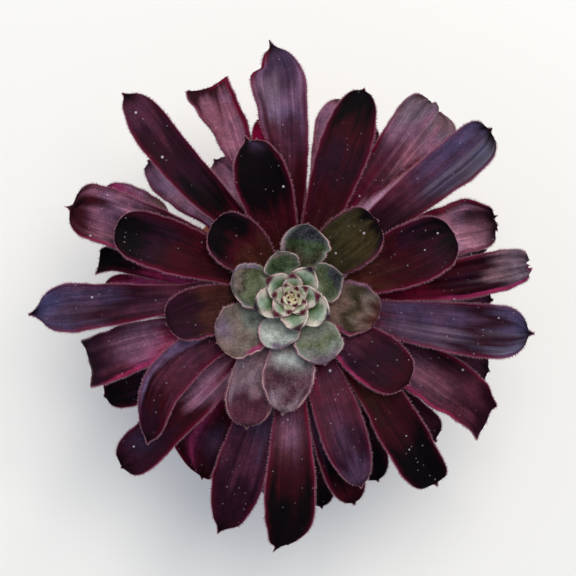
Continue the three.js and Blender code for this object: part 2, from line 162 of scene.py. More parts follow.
# The large leaves, from the youngest out. Their tones run from the foot to the tip.
LEAVES = [
    row(0, 108, 13.8, 10.5, "sage fern fern fern ash", widest=0.58, neck=0.42, point=0.7,
        square=1.9, left=(1, 1, 1, 0.8), right=(1, 1.05, 1.1, 1.1),
        folds=((1, 1.2, 0.5, 1.1, "ink"), (-1, 0.8, 0.5, 1.1, "stone"))),
    row(1, 258, 15, 12.2, "frost frost frost frost lilac", widest=0.58, neck=0.42, point=0.5,
        left=(1, 1, 1.1, 1), folds=((1, 1, 0.3, 0.9, "pink"),)),
    row(2, 22, 16.5, 11.6, "sage moss fern ink ink", widest=0.6, neck=0.42, point=1.6, square=1.7),
    row(3, 168, 18, 13, "sage moss moss olive ash", widest=0.62, neck=0.38, point=0.6, square=2.4,
        left=(1.05, 1, 0.9, 0.8), right=(1, 1, 1.05, 1.1),
        folds=((1, 1.8, 0.4, 1.1, "lilac"), (-1, 1.6, 0.5, 1.1, "ink"))),
    row(4, 296, 21.2, 13, "sage stone moss stone dove", widest=0.64, roll=6, point=0.8, square=2.6,
        left=(1.1, 1.15, 1.1, 0.9), right=(1, 0.95, 0.8, 0.7),
        folds=((1, 1, 0.3, 1, "mauve"),), sheen=((0.95, 0, 0.1, 0.6, "lilac"),)),
    row(5, 77.5, 21.6, 13.6, "moss olive fern ink ink", lift=-3, widest=0.64, point=0.7,
        square=2, left=(0.95, 0.9, 0.9, 0.9), right=(1.05, 1.1, 1.05, 0.8),
        folds=((-1, 1.6, 0.3, 0.85, "mauve"),)),
    row(6, 211, 25, 14.6, "stone stone ash ash ash", lift=-4, widest=0.65, neck=0.34, roll=-6,
        point=0.6, square=2.8, left=(1.05, 1.05, 1, 0.9), right=(1.05, 1.1, 1, 0.9),
        folds=((-1, 2.6, 0.35, 0.8, "rose"),), sheen=((0.85, 0.4, 0.12, 0.5, "lilac"),)),
    row(7, 347, 25.3, 14.3, "ash ash olive ash brown", widest=0.66, neck=0.34, point=0.6,
        square=2.8, right=(1.1, 1.1, 0.95, 0.9), left=(1.1, 1, 0.95, 0.9),
        folds=((1, 1.2, 0.3, 0.85, "rose"), (-1, 1.2, 0.3, 0.85, "mauve"))),
    row(8, 138, 30.8, 15.2, "olive brown maroon black black", widest=0.7, neck=0.38, square=2.5,
        point=0.6),
    row(9, 265.5, 33.3, 14.2, "dove dove grape grape dove", widest=0.62, neck=0.4, cup=0.14,
        point=1.4, young=0.7, square=2.4, left=(1.05, 1, 0.9, 0.85),
        right=(1, 1.05, 0.95, 0.9), folds=((0, 1.2, 0.3, 0.9, "mauve"),),
        sheen=((0.45, 0, 0.1, 0.7, "frost"),)),
    row(10, 42, 32.6, 16, "olive olive olive olive black", widest=0.7, square=2.6, point=0.6,
        left=(1.05, 1, 1, 1.1)),
    row(11, 192, 36.4, 14.6, "brown brown brown plum plum", widest=0.72, square=2.5, point=0.6),
    row(12, 323.5, 41.3, 15.4, "brown grape plum plum maroon", widest=0.72, square=2.6, roll=8,
        folds=((1, 1, 0.3, 0.85, "rose"),)),
    row(13, 106.5, 47.3, 15.3, "brown maroon black black black", widest=0.74, cup=0.26, point=2.6,
        sheen=((0.93, 0.35, 0.05, 0.3, "slate"),), left=(1, 1, 0.92, 0.8),
        right=(1, 1, 1, 1.12)),
    row(14, 251, 39.8, 14, "dove dove dove grape grape", widest=0.72, nod=-6, cup=0.16, point=1.4,
        young=0.35),
    row(15, 21.5, 49.4, 17.4, "brown brown maroon plum black", widest=0.76, square=2.5, cup=0.28,
        point=0.4),
    row(16, 159, 53.8, 15.2, "brown maroon maroon plum black", square=2.4, cup=0.28, point=0.4),
    row(17, 290, 58, 13.2, "wine grape grape plum slate", widest=0.68, neck=0.4, nod=-10,
        square=2, sheen=((0.9, -0.4, 0.05, 0.25, "slate"), (0.7, 0.1, 0.12, 0.35, "slate"))),
    row(18, 71, 63.3, 14.4, "brown maroon plum maroon black", widest=0.7, nod=-8, cup=0.28),
    row(19, 224, 59.3, 12, "wine grape grape maroon plum", widest=0.66, skew=-0.25, cup=0.55,
        point=2.2, square=2, sway=3.6, folds=((1, 3.8, 0.3, 0.9, "lilac"),)),
    row(20, 351.5, 69.7, 15.3, "wine slate slate plum dusk", widest=0.86, square=2.1, point=2.4),
    row(21, 128, 75.8, 11.6, "wine black plum plum grape", widest=0.76, skew=-0.4, cup=0.3,
        point=2, sway=-2.8, right=(1, 0.92, 0.88, 0.9), left=(1.05, 1.1, 1.2, 1.1)),
    row(22, 269.2, 73.05, 14.8, "wine grape maroon black black", widest=0.84, flare=2.4, skew=0.6,
        lean=8, right=(1, 1, 0.95, 0.8), point=2.4, left=(1, 1, 0.96, 0.95),
        folds=((-1, 1.4, 0.2, 0.75, "wine"),), sheen=((0.5, 0.1, 0.08, 0.5, "mauve"),)),
    row(23, 39.6, 75.2, 14, "brown plum grape slate dusk", widest=0.8, square=3, roll=-8,
        point=1.6, right=(0.85, 0.88, 0.95, 1), shade=(1.2, 0.6), left=(1, 1, 1, 1.05),
        skew=-0.12),
    row(24, 183.8, 76, 14, "wine grape plum slate dusk", widest=0.84, flare=2.4, square=1.9,
        cup=0.3, point=4, left=(0.9, 0.92, 1.02, 1.12), right=(0.85, 0.9, 1.08, 1.05), sway=-0.8),
    row(25, 307.6, 69, 13.8, "wine brown maroon black black", widest=0.84, square=3.4, cup=0.3,
        ragged=0.3, left=(1, 0.88, 0.75, 0.8), right=(1, 1.15, 1.16, 1), point=1.4),
    row(26, 93, 74.85, 16.2, "maroon maroon grape lilac slate", widest=0.8, skew=-0.35, roll=6,
        point=3.2, notch=0.36, left=(0.5, 0.86, 1.15, 1.12), shade=(0.9, 1),
        right=(1, 0.95, 0.95, 0.92), folds=((-1, 2.2, 0.8, 1.2, "wine"),)),
    row(27, 225, 70.3, 12.3, "wine mauve maroon plum plum", widest=0.82, square=3, cup=0.35,
        right=(1.15, 1.35, 1.18, 1.1), left=(0.85, 0.75, 0.93, 0.98),
        sheen=((0.84, 0.3, 0.06, 0.4, "slate"),)),
    row(28, 7.5, 70.5, 12.2, "wine wine maroon plum dove", widest=0.84, square=3, lean=-5,
        ripple=1, ribs=0.9, ragged=1.6, left=(1, 1, 1, 0.95), point=0.3, cut=0.4,
        right=(1, 1.05, 0.95, 0.82),
        folds=((1, 1.4, 0.5, 1.2, "rose"), (-1, 1, 0.4, 0.9, "wine"))),
    row(29, 158.2, 71.6, 16.2, "wine maroon plum mauve maroon", widest=0.84, square=2.8, lean=4,
        ripple=0.7, ragged=0.9, point=2.8, right=(1, 1, 1.05, 1.15), bites=((0.45, 1.5, 0.3),),
        left=(1, 1, 0.96, 0.95), folds=((-1, 1.6, 0.4, 0.95, "rose"),),
        sheen=((0.8, -0.1, 0.07, 0.4, "slate"),)),
    row(30, 286.8, 63.8, 12, "wine grape slate black maroon", cup=0.3),
    row(31, 53.8, 71.8, 17.6, "wine wine grape mauve dove", widest=0.82, square=3.6, lean=-9,
        ripple=1.2, ribs=0.8, ragged=1, left=(0.86, 0.82, 0.87, 0.86),
        right=(1, 1, 1.08, 1.22), slant=1.2, point=0.3,
        bites=((0.9, 2, 0.42), (0.4, 0.9, 0.08)), cut=0.3,
        folds=((1, 8.6, 0.22, 0.8, "wine"), (1, 7.2, 0.22, 0.78, "pink"),
               (-1, 2.2, 0.3, 0.8, "wine"))),
    row(32, 198, 65.4, 14, "wine wine mauve grape plum", widest=0.93, square=5, nod=-12,
        hollow=0.4, ragged=0.8, droop=0.8, right=(1.4, 1.35, 1.12, 1), flare=2.4, slant=-1.2,
        point=0.2, left=(0.95, 0.95, 1, 1.05), cut=0.92,
        folds=((-1, 3.2, 0.25, 0.95, "rose"), (0, 0.9, 0.93, 1.4, "ash")),
        sheen=((0.5, -0.4, 0.18, 0.6, "rose"), (0.72, 0.1, 0.1, 0.5, "mauve"))),
    row(33, 328.4, 70.4, 14.4, "wine grape plum grape plum", widest=0.86, square=3.5, skew=0.2,
        ripple=0.8, ragged=0.5, right=(1.5, 1.3, 1.05, 0.86), left=(1, 1, 0.92, 0.75),
        slant=3.2, point=0.4, cut=0.92,
        folds=((1, 2, 0.3, 0.9, "rose"), (-1, 1.4, 0.4, 0.95, "wine")),
        sheen=((0.6, 0.3, 0.14, 0.4, "mauve"),)),
    row(34, 110.8, 70.4, 13.4, "wine plum mauve mauve maroon", widest=0.86, square=6, nod=-14,
        ripple=0.7, hollow=0.5, droop=1.6, left=(0.1, 0.45, 0.9, 1.15),
        right=(1.3, 1.2, 0.97, 0.82), slant=2.4, point=0.2, cut=0.9,
        folds=((1, 2, 0.55, 1.3, "wine"),)),
    row(35, 253.6, 73.8, 14.1, "wine slate grape plum plum", widest=0.74, skew=0.2, cup=0.3,
        right=(1.05, 1.12, 1.02, 0.86), square=2, point=3, left=(1, 1, 1.1, 1.35)),
    row(36, 20, 65.3, 16, "wine plum mauve mauve plum", widest=0.82, square=3, roll=6, ripple=0.8,
        ragged=0.8, point=1.4, left=(0.7, 0.85, 1, 0.72), cut=0.3,
        sheen=((0.8, 0.5, 0.14, 0.5, "pink"),), folds=((-1, 2.6, 0.4, 1, "wine"),)),
    row(37, 168.8, 58.6, 12, "rose rose rose plum black", widest=0.88, square=4, skew=-0.4,
        left=(0.5, 0.42, 0.4, 0.42), point=0.3, right=(1, 1, 1, 0.9), cut=0.9,
        shade=(1.5, 0.5)),
    row(38, 315, 61.4, 13.5, "brown brown brown plum plum", widest=0.84, square=3),
    row(39, 99, 55, 13, "crimson crimson crimson crimson crimson", point=0.3),
    row(41, 359, 60.7, 12, "wine dove dove dove grape"),
    row(42, 136.5, 60, 13, "mauve pink pink pink mauve", square=3, roll=8,
        left=(0.22, 0.6, 0.8, 0.7), folds=((-1, 0.9, 0.3, 1, "rose"),)),
    row(43, 278, 64.9, 12, "wine wine plum plum black"),
    row(44, 67.5, 58.5, 12, "wine rose pink rose plum"),
    row(46, 339.5, 64.5, 12.5, "brown dove dove grape grape", square=3),
    row(47, 119.5, 48, 12, "brown brown mauve pink mauve"),
    row(48, 240.5, 62, 14.5, "wine wine maroon plum maroon", skew=-0.5, lean=-5,
        right=(1.5, 1.7, 1.85, 1.6), folds=((0, 1.8, 0.3, 1.2, "wine"),), ribs=0.5,
        sheen=((0.78, -0.1, 0.08, 0.25, "slate"), (0.7, 0.35, 0.3, 0.1, "rose"))),
    row(49, 13.5, 61.6, 13, "wine mauve pink mauve plum"),
    row(50, 150.5, 67.5, 13.5, "olive ash ash mauve rose", lean=-8, right=(0.1, 1.05, 1, 1)),
    row(51, 295, 63, 12, "wine wine plum plum black"),
    row(52, 75, 63.6, 12, "wine mauve pink mauve mauve", lean=-3, left=(0.7, 0.95, 1.15, 1.2)),
    row(53, 208, 66, 14.4, "plum plum slate plum black", square=2.8, left=(0.9, 0.82, 0.82, 0.8),
        folds=((1, 3.6, 0.3, 1.2, "wine"),)),
    row(56, 262.6, 62.8, 12, "plum maroon plum plum black"),
    row(58, 177, 59.5, 12, "wine rose rose rose wine"),
]


def paint(code):
    """A colour from its usual six-digit code, as Blender's materials take it."""
    channels = (int(code[i:i + 2], 16) / 255 for i in (0, 2, 4))
    return tuple(Color(tuple(channels)).from_srgb_to_scene_linear())


def opaque(tone):
    return (*tone, 1)


def lerp(a, b, share):
    return a + (b - a) * share


def smooth(low, high, value):
    """0 below low, 1 above high and an even curve between."""
    x = min(1.0, max(0.0, (value - low) / (high - low)))
    return x * x * (3 - 2 * x)


def between(places, values, at):
    """The value there of an even curve through these values at these places."""
    for i in range(1, len(places)):
        if at <= places[i]:
            return lerp(values[i - 1], values[i], smooth(places[i - 1], places[i], at))
    return values[-1]


def chance(x, y, z):
    """An even random value round 0 that is always the same at that place."""
    return noise.noise(Vector((x, y, z)))


# ---------------------------------------------------------------- sizes and colours


def colour(name, description, code):
    return bpy.props.FloatVectorProperty(
        name=name, description=description, subtype="COLOR", size=3, min=0, max=1,
        default=paint(code))


def length(name, description, millimetres):
    return bpy.props.FloatProperty(
        name=name, description=description, unit="LENGTH", subtype="DISTANCE", min=0,
        default=millimetres * MM)


def count(name, description, default):
    return bpy.props.IntProperty(name=name, description=description, min=1, default=default)


class LeafSettings(bpy.types.PropertyGroup):
    """Sizes and colours of the leaves"""

    base_thickness: length("Base thickness", "Thickness of a leaf where it meets the stem", 2.1)
    blade_thickness: length("Blade thickness", "Thickness in the middle of the blade", 1.5)
    margin_thickness: length("Margin thickness", "Thickness just inside the margin", 0.7)
    groove: length("Groove", "Depth of the channel along the middle", 0.3)
    unevenness: length("Unevenness", "How far the faces rise and fall", 0.22)
    hair_length: length("Hair length", "Length of the hairs on the margin", 0.85)
    hair_spacing: length("Hair spacing", "Distance from one hair to the next", 0.5)
    hair_width: length("Hair width", "Width of a hair at its foot", 0.34)
    black: colour("Black", "Darkest ends", "050104")
    maroon: colour("Maroon", "Dark red of the blades", "2e0610")
    wine: colour("Wine", "Clear red near the stem and in old leaves", "5e0a26")
    plum: colour("Plum", "Dark purple of the blades", "250a18")
    grape: colour("Grape", "Lighter purple", "462030")
    # Slate, dusk and lilac are the wax bloom and also painted reflection: the violet sheen of the
    # sky on the leaves is put into these colours.
    slate: colour("Slate", "Violet grey where the wax is thin", "422e46")
    dusk: colour("Dusk", "Blue violet at waxy ends", "413855")
    lilac: colour("Lilac", "Pale violet grey where the wax is thick", "684f6a")
    mauve: colour("Mauve", "Faded purple", "805468")
    dove: colour("Dove", "Grey mauve of the first rings", "6e5862")
    pink: colour("Pink", "Pale faded pink", "a97c92")
    crimson: colour("Crimson", "Clear red of leaves with the light behind them", "9c0c38")
    rose: colour("Rose", "Bright pink of turned margins", "98305c")
    brown: colour("Brown", "Brown red near the stem", "391b17")
    olive: colour("Olive", "Brown green", "322a18")
    moss: colour("Moss", "Dull green of young leaves", "50573a")
    fern: colour("Fern", "Dark green of the youngest leaves", "334222")
    sage: colour("Sage", "Pale green of the youngest leaves", "848f74")
    stone: colour("Stone", "Green grey of young leaves", "686c62")
    frost: colour("Frost", "Pale wax on young leaves", "a3aca4")
    ash: colour("Ash", "Grey brown of the first ring", "66564e")
    ink: colour("Ink", "Blue black tips of young leaves", "1c1a24")
    rim: colour("Rim", "Margin of a grown leaf", "8e4260")
    pale_rim: colour("Pale rim", "Margin of a young leaf", "caa6a2")
    hair: colour("Hair", "Hairs on the margins", "a8808a")


class HeartSettings(bpy.types.PropertyGroup):
    """Sizes and colours of the heart"""

    leaves: count("Leaves", "Small leaves round the growing tip", 30)
    reach: length("Reach", "Tip distance of the outermost leaf", 12.4)
    width: length("Width", "Width of the outermost leaf", 9.5)
    green: colour("Green", "Blades of the heart", "4c6640")
    frost: colour("Frost", "Pale wax towards the tips", "a0b2a2")
    glow: colour("Glow", "Innermost blades", "d2d0a2")
    rim: colour("Rim", "Margins of the heart", "e2e0cc")
    blush: colour("Blush", "Pink in the margins", "d8a2aa")
    dark_tip: colour("Dark tip", "Points of the outer heart leaves", "261626")
    red_tip: colour("Red tip", "Points of the inner heart leaves", "560c26")


class StemSettings(bpy.types.PropertyGroup):
    """Sizes and colours of the stem"""

    scars: count("Scars", "Scars of dropped leaves", 40)
    scar_depth: length("Scar depth", "How far a scar's edge stands out", 0.35)
    bark: colour("Bark", "Bare bark", "8a7764")
    crease: colour("Crease", "Cracks and scars", "4b3b30")


class SoilSettings(bpy.types.PropertyGroup):
    """Sizes and colours of the soil"""

    crumbs: count("Crumbs", "Loose crumbs on top", 420)
    grit: count("Grit", "Pale grains of grit on top", 90)
    earth: colour("Earth", "Soil", "35261c")
    stone: colour("Grit", "Grains of grit", "c9c2b4")


class PotSettings(bpy.types.PropertyGroup):
    """Facets and colours of the pot"""

    sides: count("Sides", "Facets round the pot", 144)
    clay: colour("Clay", "Fired clay", "b4663f")
    bloom: colour("Bloom", "Salt that has dried on the clay", "d9c3ae")


class StageSettings(bpy.types.PropertyGroup):
    """Camera, light and floor"""

    camera_height: length("Camera height", "Height above the floor", 525.0)
    lens: bpy.props.FloatProperty(
        name="Lens", description="Focal length of the camera", unit="CAMERA", min=1,
        default=91.57)
    key_power: bpy.props.FloatProperty(
        name="Key power", description="Power of the large soft lamp", unit="POWER", min=0,
        default=7.6)
    sky_strength: bpy.props.FloatProperty(
        name="Sky strength", description="Strength of the light from all round", min=0,
        default=0.6)
    floor: colour("Floor", "Pale floor", "f1efe9")
    sky: colour("Sky", "Light from all round", "dde8fb")


# ---------------------------------------------------------------- node wiring


class Wiring:
    """Puts nodes in a tree and joins them."""

    def __init__(self, tree):
        self.tree = tree

    def feed(self, socket, value):
        """Join the value to the socket, or set it there where it is a plain number or colour."""
        if isinstance(value, bpy.types.NodeSocket):
            self.tree.links.new(value, socket)
        else:
            socket.default_value = value

    def put(self, kind, values=(), **settings):
        """A new node with these settings and with these values in its sockets."""
        node = self.tree.nodes.new("ShaderNode" + kind)
        for name, value in settings.items():
            setattr(node, name, value)
        for socket, value in dict(values).items():
            self.feed(node.inputs[socket], value)
        return node

    def mix(self, factor, a, b, blend="MIX"):
        values = {0: factor, 6: a, 7: b}
        return self.put("Mix", values, data_type="RGBA", blend_type=blend).outputs[2]

    def reckon(self, operation, a, b):
        return self.put("Math", {0: a, 1: b}, operation=operation).outputs[0]

    def sum(self, a, b):
        return self.reckon("ADD", a, b)

    def times(self, a, b):
        return self.reckon("MULTIPLY", a, b)

    def weighed(self, *parts):
        """The sum of these values, each times its weight."""
        total, *others = [self.times(value, weight) for value, weight in parts]
        for part in others:
            total = self.sum(total, part)
        return total

    def ramp(self, value, low, high, start=0.0, end=1.0):
        """Start where the value is below low, end where it is above high."""
        values = {0: value, 1: low, 2: high, 3: start, 4: end}
        return self.put("MapRange", values, interpolation_type="SMOOTHSTEP").outputs[0]

    def noise(self, vector, scale, detail=3.0, roughness=0.55):
        values = {"Vector": vector, "Scale": scale, "Detail": detail, "Roughness": roughness}
        return self.put("TexNoise", values).outputs["Fac"]

    def attribute(self, name, output="Fac"):
        return self.put("Attribute", attribute_name=name).outputs[output]

    def contrast(self, tone, value, low, high, dark, light):
        """The tone multiplied by dark where the value is low and by light where it is high."""
        return self.mix(1.0, tone, self.ramp(value, low, high, dark, light), "MULTIPLY")

    def object_place(self):
        return self.put("TexCoord").outputs["Object"]

    def on_axis(self, vector, axis):
        return self.put("SeparateXYZ", {0: vector}).outputs[axis]

    def stretched(self, vector, scale):
        return self.put("Mapping", {"Vector": vector, "Scale": scale}).outputs[0]


class Skin(Wiring):
    """A new material and the wiring that leads to its shader."""

    def __init__(self, name):
        self.material = bpy.data.materials.new(name)
        self.material.use_nodes = True
        super().__init__(self.material.node_tree)
        self.shader = self.tree.nodes["Principled BSDF"].inputs

    def finish(self, tone, roughness, specular=0.5):
        self.feed(self.shader["Base Color"], tone)
        self.feed(self.shader["Roughness"], roughness)
        self.feed(self.shader["Specular IOR Level"], specular)
        return self.material

    def emboss(self, height, strength, depth):
        """Relief that stands up to that depth, in millimetres."""
        values = {"Strength": strength, "Distance": depth * MM, "Height": height}
        self.feed(self.shader["Normal"], self.put("Bump", values).outputs[0])


def open_group(name, inputs, outputs):
    """A new shader node group with these sockets: its wiring, its entries and its exits."""
    tree = bpy.data.node_groups.new(name, "ShaderNodeTree")
    for way, sockets in (("INPUT", inputs), ("OUTPUT", outputs)):
        for socket, kind in sockets.items():
            tree.interface.new_socket(socket, in_out=way, socket_type="NodeSocket" + kind)
    entries = tree.nodes.new("NodeGroupInput").outputs
    exits = tree.nodes.new("NodeGroupOutput").inputs
    return Wiring(tree), entries, exits


def speck_group():
    """Small pale specks of dust, a few to each leaf."""
    name = "Dust specks"
    if name in bpy.data.node_groups:
        return bpy.data.node_groups[name]
    w, entries, exits = open_group(
        name, dict.fromkeys(("Spacing", "Share", "Size"), "Float"), {"Mask": "Float"})
    values = {"Vector": w.object_place(), "Scale": entries["Spacing"]}
    cells = w.put("TexVoronoi", values, feature="F1")
    chance = w.put("SeparateColor", {0: cells.outputs["Color"]})
    kept = w.reckon("LESS_THAN", chance.outputs[0], entries["Share"])
    reach = w.times(entries["Size"], w.sum(chance.outputs[1], 0.35))
    near = w.reckon("LESS_THAN", cells.outputs["Distance"], reach)
    w.feed(exits["Mask"], w.times(kept, near))
    return w.tree


def blade_group():
    """Colour, roughness, wax and relief of a leaf's skin, from the values stored on the leaf."""
    name = "Blade skin"
    if name in bpy.data.node_groups:
        return bpy.data.node_groups[name]
    w, entries, exits = open_group(
        name, dict.fromkeys(("Rim", "Pale rim", "Glow", "Underside"), "Color"),
        {"Color": "Color", "Roughness": "Float", "Wax": "Float", "Height": "Float"})
    place = w.object_place()
    blade = w.put("UVMap", uv_map=BLADE_MAP).outputs[0]
    patchy = w.noise(place, 240, 4, 0.7)
    fine = w.noise(place, 1900, 3, 0.7)
    grain = w.noise(w.stretched(blade, (60, 3.2, 1)), 1, 4, 0.7)
    veins = w.noise(w.stretched(blade, (12, 1.1, 1)), 1, 3)
    young, under, rim = w.attribute("young"), w.attribute("under"), w.attribute("rim")
    edge, wax = w.attribute("edge"), w.attribute("wax")

    # Red and blue casts in broad clouds.
    warm, cool = (1.12, 0.96, 0.94, 1), (0.9, 0.99, 1.08, 1)
    cast = w.mix(w.ramp(w.noise(place, 70, 2), 0.38, 0.62), warm, cool)
    tone = w.attribute("tone", "Color")
    tone = w.mix(w.ramp(young, 0, 1, 1, 0.3), tone, cast, "MULTIPLY")
    # Veins, streaks and patches: how dark and how light they are on a grown and on a young leaf.
    for value, low, high, dark, light in (
        (veins, 0.3, 0.7, (0.74, 0.94), (1.22, 1.05)),
        (grain, 0.28, 0.72, (0.66, 0.92), (1.3, 1.06)),
        (patchy, 0.3, 0.7, (0.7, 0.6), (1.28, 1.36)),
    ):
        dark, light = w.ramp(young, 0, 0.6, *dark), w.ramp(young, 0, 0.6, *light)
        tone = w.contrast(tone, value, low, high, dark, light)
    tone = w.contrast(tone, fine, 0.3, 0.72, 0.78, 1.2)
    felt = w.times(w.ramp(w.sum(fine, patchy), 0.8, 1.25), w.ramp(young, 0.1, 1, 0, 0.12))
    tone = w.mix(felt, tone, (0.4, 0.42, 0.4, 1))
    # The underside, and the colour just inside the margin: partly the leaf's own redder margin,
    # partly painted light shining through the thin margin, stronger on the sides that face away
    # from +Y.
    tone = w.mix(w.times(under, 0.7), tone, entries["Underside"])
    glow = w.times(w.ramp(w.sum(rim, w.times(patchy, 2.6)), 1.0, 3.2, 0.62, 0),
                   w.ramp(w.on_axis(blade, 1), 0.8, 1.0, 1, 0.15))
    tone = w.mix(w.times(glow, edge), tone, entries["Glow"])
    # The rim itself, broken up along its length; like the colour inside it, it is painted stronger
    # on the sides that face away from +Y, as light shining through the margin.
    pale = w.ramp(w.sum(young, w.times(patchy, 0.4)), 0.2, 0.75)
    width = w.ramp(young, 0, 1, 0.6, 0.9)
    line = w.times(w.ramp(w.sum(rim, w.times(fine, 0.5)), 0.2, width, 1, 0),
                   w.ramp(patchy, 0.3, 0.62, 0.25, 1))
    tone = w.mix(w.times(line, edge), tone, w.mix(pale, entries["Rim"], entries["Pale rim"]))
    # Specks and finer dust.
    for spacing, size, cover, dust in (
        (230, 0.07, 0.6, (0.55, 0.5, 0.56, 1)),
        (600, 0.1, 0.45, (0.36, 0.3, 0.34, 1)),
    ):
        values = {"Spacing": spacing, "Share": 0.5, "Size": size}
        specks = w.put("Group", values, node_tree=speck_group()).outputs[0]
        tone = w.mix(w.times(specks, cover), tone, dust)

    w.feed(exits["Color"], tone)
    matt = w.weighed((patchy, 0.6), (fine, 0.4))
    w.feed(exits["Roughness"], w.ramp(matt, 0.25, 0.75, 0.34, 0.6))
    w.feed(exits["Wax"], w.times(w.times(wax, 0.35), w.ramp(veins, 0.3, 0.7)))
    w.feed(exits["Height"], w.weighed((grain, 0.7), (fine, 0.35), (veins, 0.4), (patchy, 0.4)))
    return w.tree


def leaf_skin(name, settings, glow, underside):
    """Finish of a leaf. The glow is the colour that shows just inside its rim, partly the leaf's
    own redder margin and partly painted light shining through the thin margin.
    """
    w = Skin(name)
    paints = {
        "Rim": settings.rim, "Pale rim": settings.pale_rim, "Glow": glow, "Underside": underside}
    values = {socket: opaque(tone) for socket, tone in paints.items()}
    blade = w.put("Group", values, node_tree=blade_group()).outputs
    w.emboss(blade["Height"], 0.45, 0.5)
    w.feed(w.shader["Coat Weight"], blade["Wax"])
    w.feed(w.shader["Coat Roughness"], 0.3)
    return w.finish(blade["Color"], blade["Roughness"], specular=0.04)


def hair_skin(settings):
    name = "Hair"
    if name in bpy.data.materials:
        return bpy.data.materials[name]
    w = Skin(name)
    darker = w.ramp(w.noise(w.object_place(), 500), 0.3, 0.7, 0, 0.6)
    return w.finish(w.mix(darker, opaque(settings.hair), opaque(settings.rim)), 0.5)


def heart_skin():
    w = Skin("Heart leaf")
    place = w.object_place()
    patchy = w.noise(place, 500, 4, 0.65)
    fine = w.noise(place, 1800, 3, 0.7)
    tone = w.contrast(w.attribute("tone", "Color"), patchy, 0.3, 0.7, 0.8, 1.12)
    tone = w.contrast(tone, fine, 0.3, 0.7, 0.82, 1.12)
    w.emboss(w.sum(patchy, fine), 0.4, 0.3)
    return w.finish(tone, 0.55, specular=0.2)


def clay_skin(settings):
    w = Skin("Fired clay")
    burnt, worn, dusty = (0.25, 0.085, 0.035, 1), (0.5, 0.2, 0.1, 1), (0.62, 0.33, 0.2, 1)
    place = w.object_place()
    broad = w.noise(place, 28, 4)
    patchy = w.noise(place, 130, 5, 0.65)
    fine = w.noise(place, 1400, 3, 0.7)
    rings = w.noise(w.stretched(place, (6, 6, 700)), 1, 2)
    height = w.on_axis(place, 2)
    tone = w.mix(w.ramp(broad, 0.35, 0.7, 0, 0.5), opaque(settings.clay), burnt)
    tone = w.mix(w.ramp(rings, 0.35, 0.7, 0, 0.25), tone, worn)
    tone = w.mix(w.ramp(fine, 0.5, 0.75, 0, 0.3), tone, dusty)
    # Dried salt: round the foot, under and on the band, and in patches.
    foot = w.ramp(w.sum(height, w.times(broad, 0.02)), 12 * MM, 30 * MM, 1, 0)
    level = w.sum(height, w.times(broad, 0.012))
    band = w.times(w.ramp(level, 36 * MM, 46 * MM), w.ramp(level, 52 * MM, 62 * MM, 1, 0.3))
    patches = w.ramp(w.sum(broad, w.times(patchy, 0.4)), 0.72, 0.95)
    salt = w.times(w.ramp(w.sum(foot, band), 0, 1), w.ramp(patchy, 0.38, 0.66))
    salt = w.sum(salt, w.times(patches, 0.6))
    tone = w.mix(w.ramp(salt, 0, 1, 0, 0.55), tone, opaque(settings.bloom))
    w.emboss(w.weighed((fine, 0.35), (rings, 0.5), (salt, 0.3)), 0.5, 0.4)
    return w.finish(tone, w.ramp(patchy, 0.3, 0.7, 0.78, 0.95), specular=0.25)


def earth_skin(name, tone, lightness):
    """Finish of soil, crumbs and grit: the tone made that much lighter, and darker in the hollows
    of its relief as painted shade.
    """
    w = Skin(name)
    place = w.object_place()
    patchy = w.noise(place, 220, 4)
    fine = w.noise(place, 1500, 4, 0.7)
    light = [min(1.0, channel * lightness) for channel in tone]
    dark = [channel * 0.35 for channel in light]
    # Painted shade: the tone is darker where the relief sinks into hollows.
    height = w.ramp(w.weighed((patchy, 0.5), (fine, 0.5)), 0.35, 0.65)
    w.emboss(w.sum(patchy, fine), 0.8, 0.6)
    return w.finish(w.mix(height, opaque(dark), opaque(light)), 0.95, specular=0.2)


def bark_skin(settings):
    w = Skin("Bark")
    worn, healed, green = (0.3, 0.24, 0.2, 1), (0.42, 0.33, 0.26, 1), (0.16, 0.17, 0.06, 1)
    place = w.object_place()
    broad = w.noise(place, 90, 4)
    cracks = w.noise(w.stretched(place, (900, 900, 140)), 1, 4, 0.65)
    fine = w.noise(place, 1600, 3, 0.7)
    tone = w.mix(w.ramp(cracks, 0.35, 0.65), opaque(settings.crease), opaque(settings.bark))
    tone = w.mix(w.ramp(broad, 0.4, 0.7, 0, 0.5), tone, worn)
    tone = w.mix(w.times(w.attribute("scar"), 0.7), tone, healed)
    young = w.ramp(w.on_axis(place, 2), 82 * MM, 100 * MM)
    tone = w.mix(w.times(young, 0.7), tone, green)
    w.emboss(w.sum(cracks, w.times(fine, 0.4)), 0.7, 0.4)
    return w.finish(tone, 0.85)


# ---------------------------------------------------------------- modelling helpers


def deselect():
    if bpy.context.object and bpy.context.object.mode != "OBJECT":
        bpy.ops.object.mode_set(mode="OBJECT")
    bpy.ops.object.select_all(action="DESELECT")


def select(*objects):
    """Select these objects alone, the first one as the active one."""
    deselect()
    for obj in objects:
        obj.select_set(True)
    bpy.context.view_layer.objects.active = objects[0]


def enter_mesh():
    """Start to edit the active object's mesh, with all of it selected."""
    bpy.ops.object.mode_set(mode="EDIT")
    bpy.ops.mesh.select_all(action="SELECT")


def leave_mesh():
    """Turn all faces outwards and stop editing."""
    bpy.ops.mesh.select_all(action="SELECT")
    bpy.ops.mesh.normals_make_consistent(inside=False)
    bpy.ops.object.mode_set(mode="OBJECT")


def join(objects, name):
    """The objects as one, under that name."""
    select(*objects)
    bpy.ops.object.join()
    joined = bpy.context.object
    joined.name = joined.data.name = name
    return joined


def placed(mesh):
    """A new object in the scene, with that mesh and its name."""
    obj = bpy.data.objects.new(mesh.name, mesh)
    bpy.context.scene.collection.objects.link(obj)
    return obj


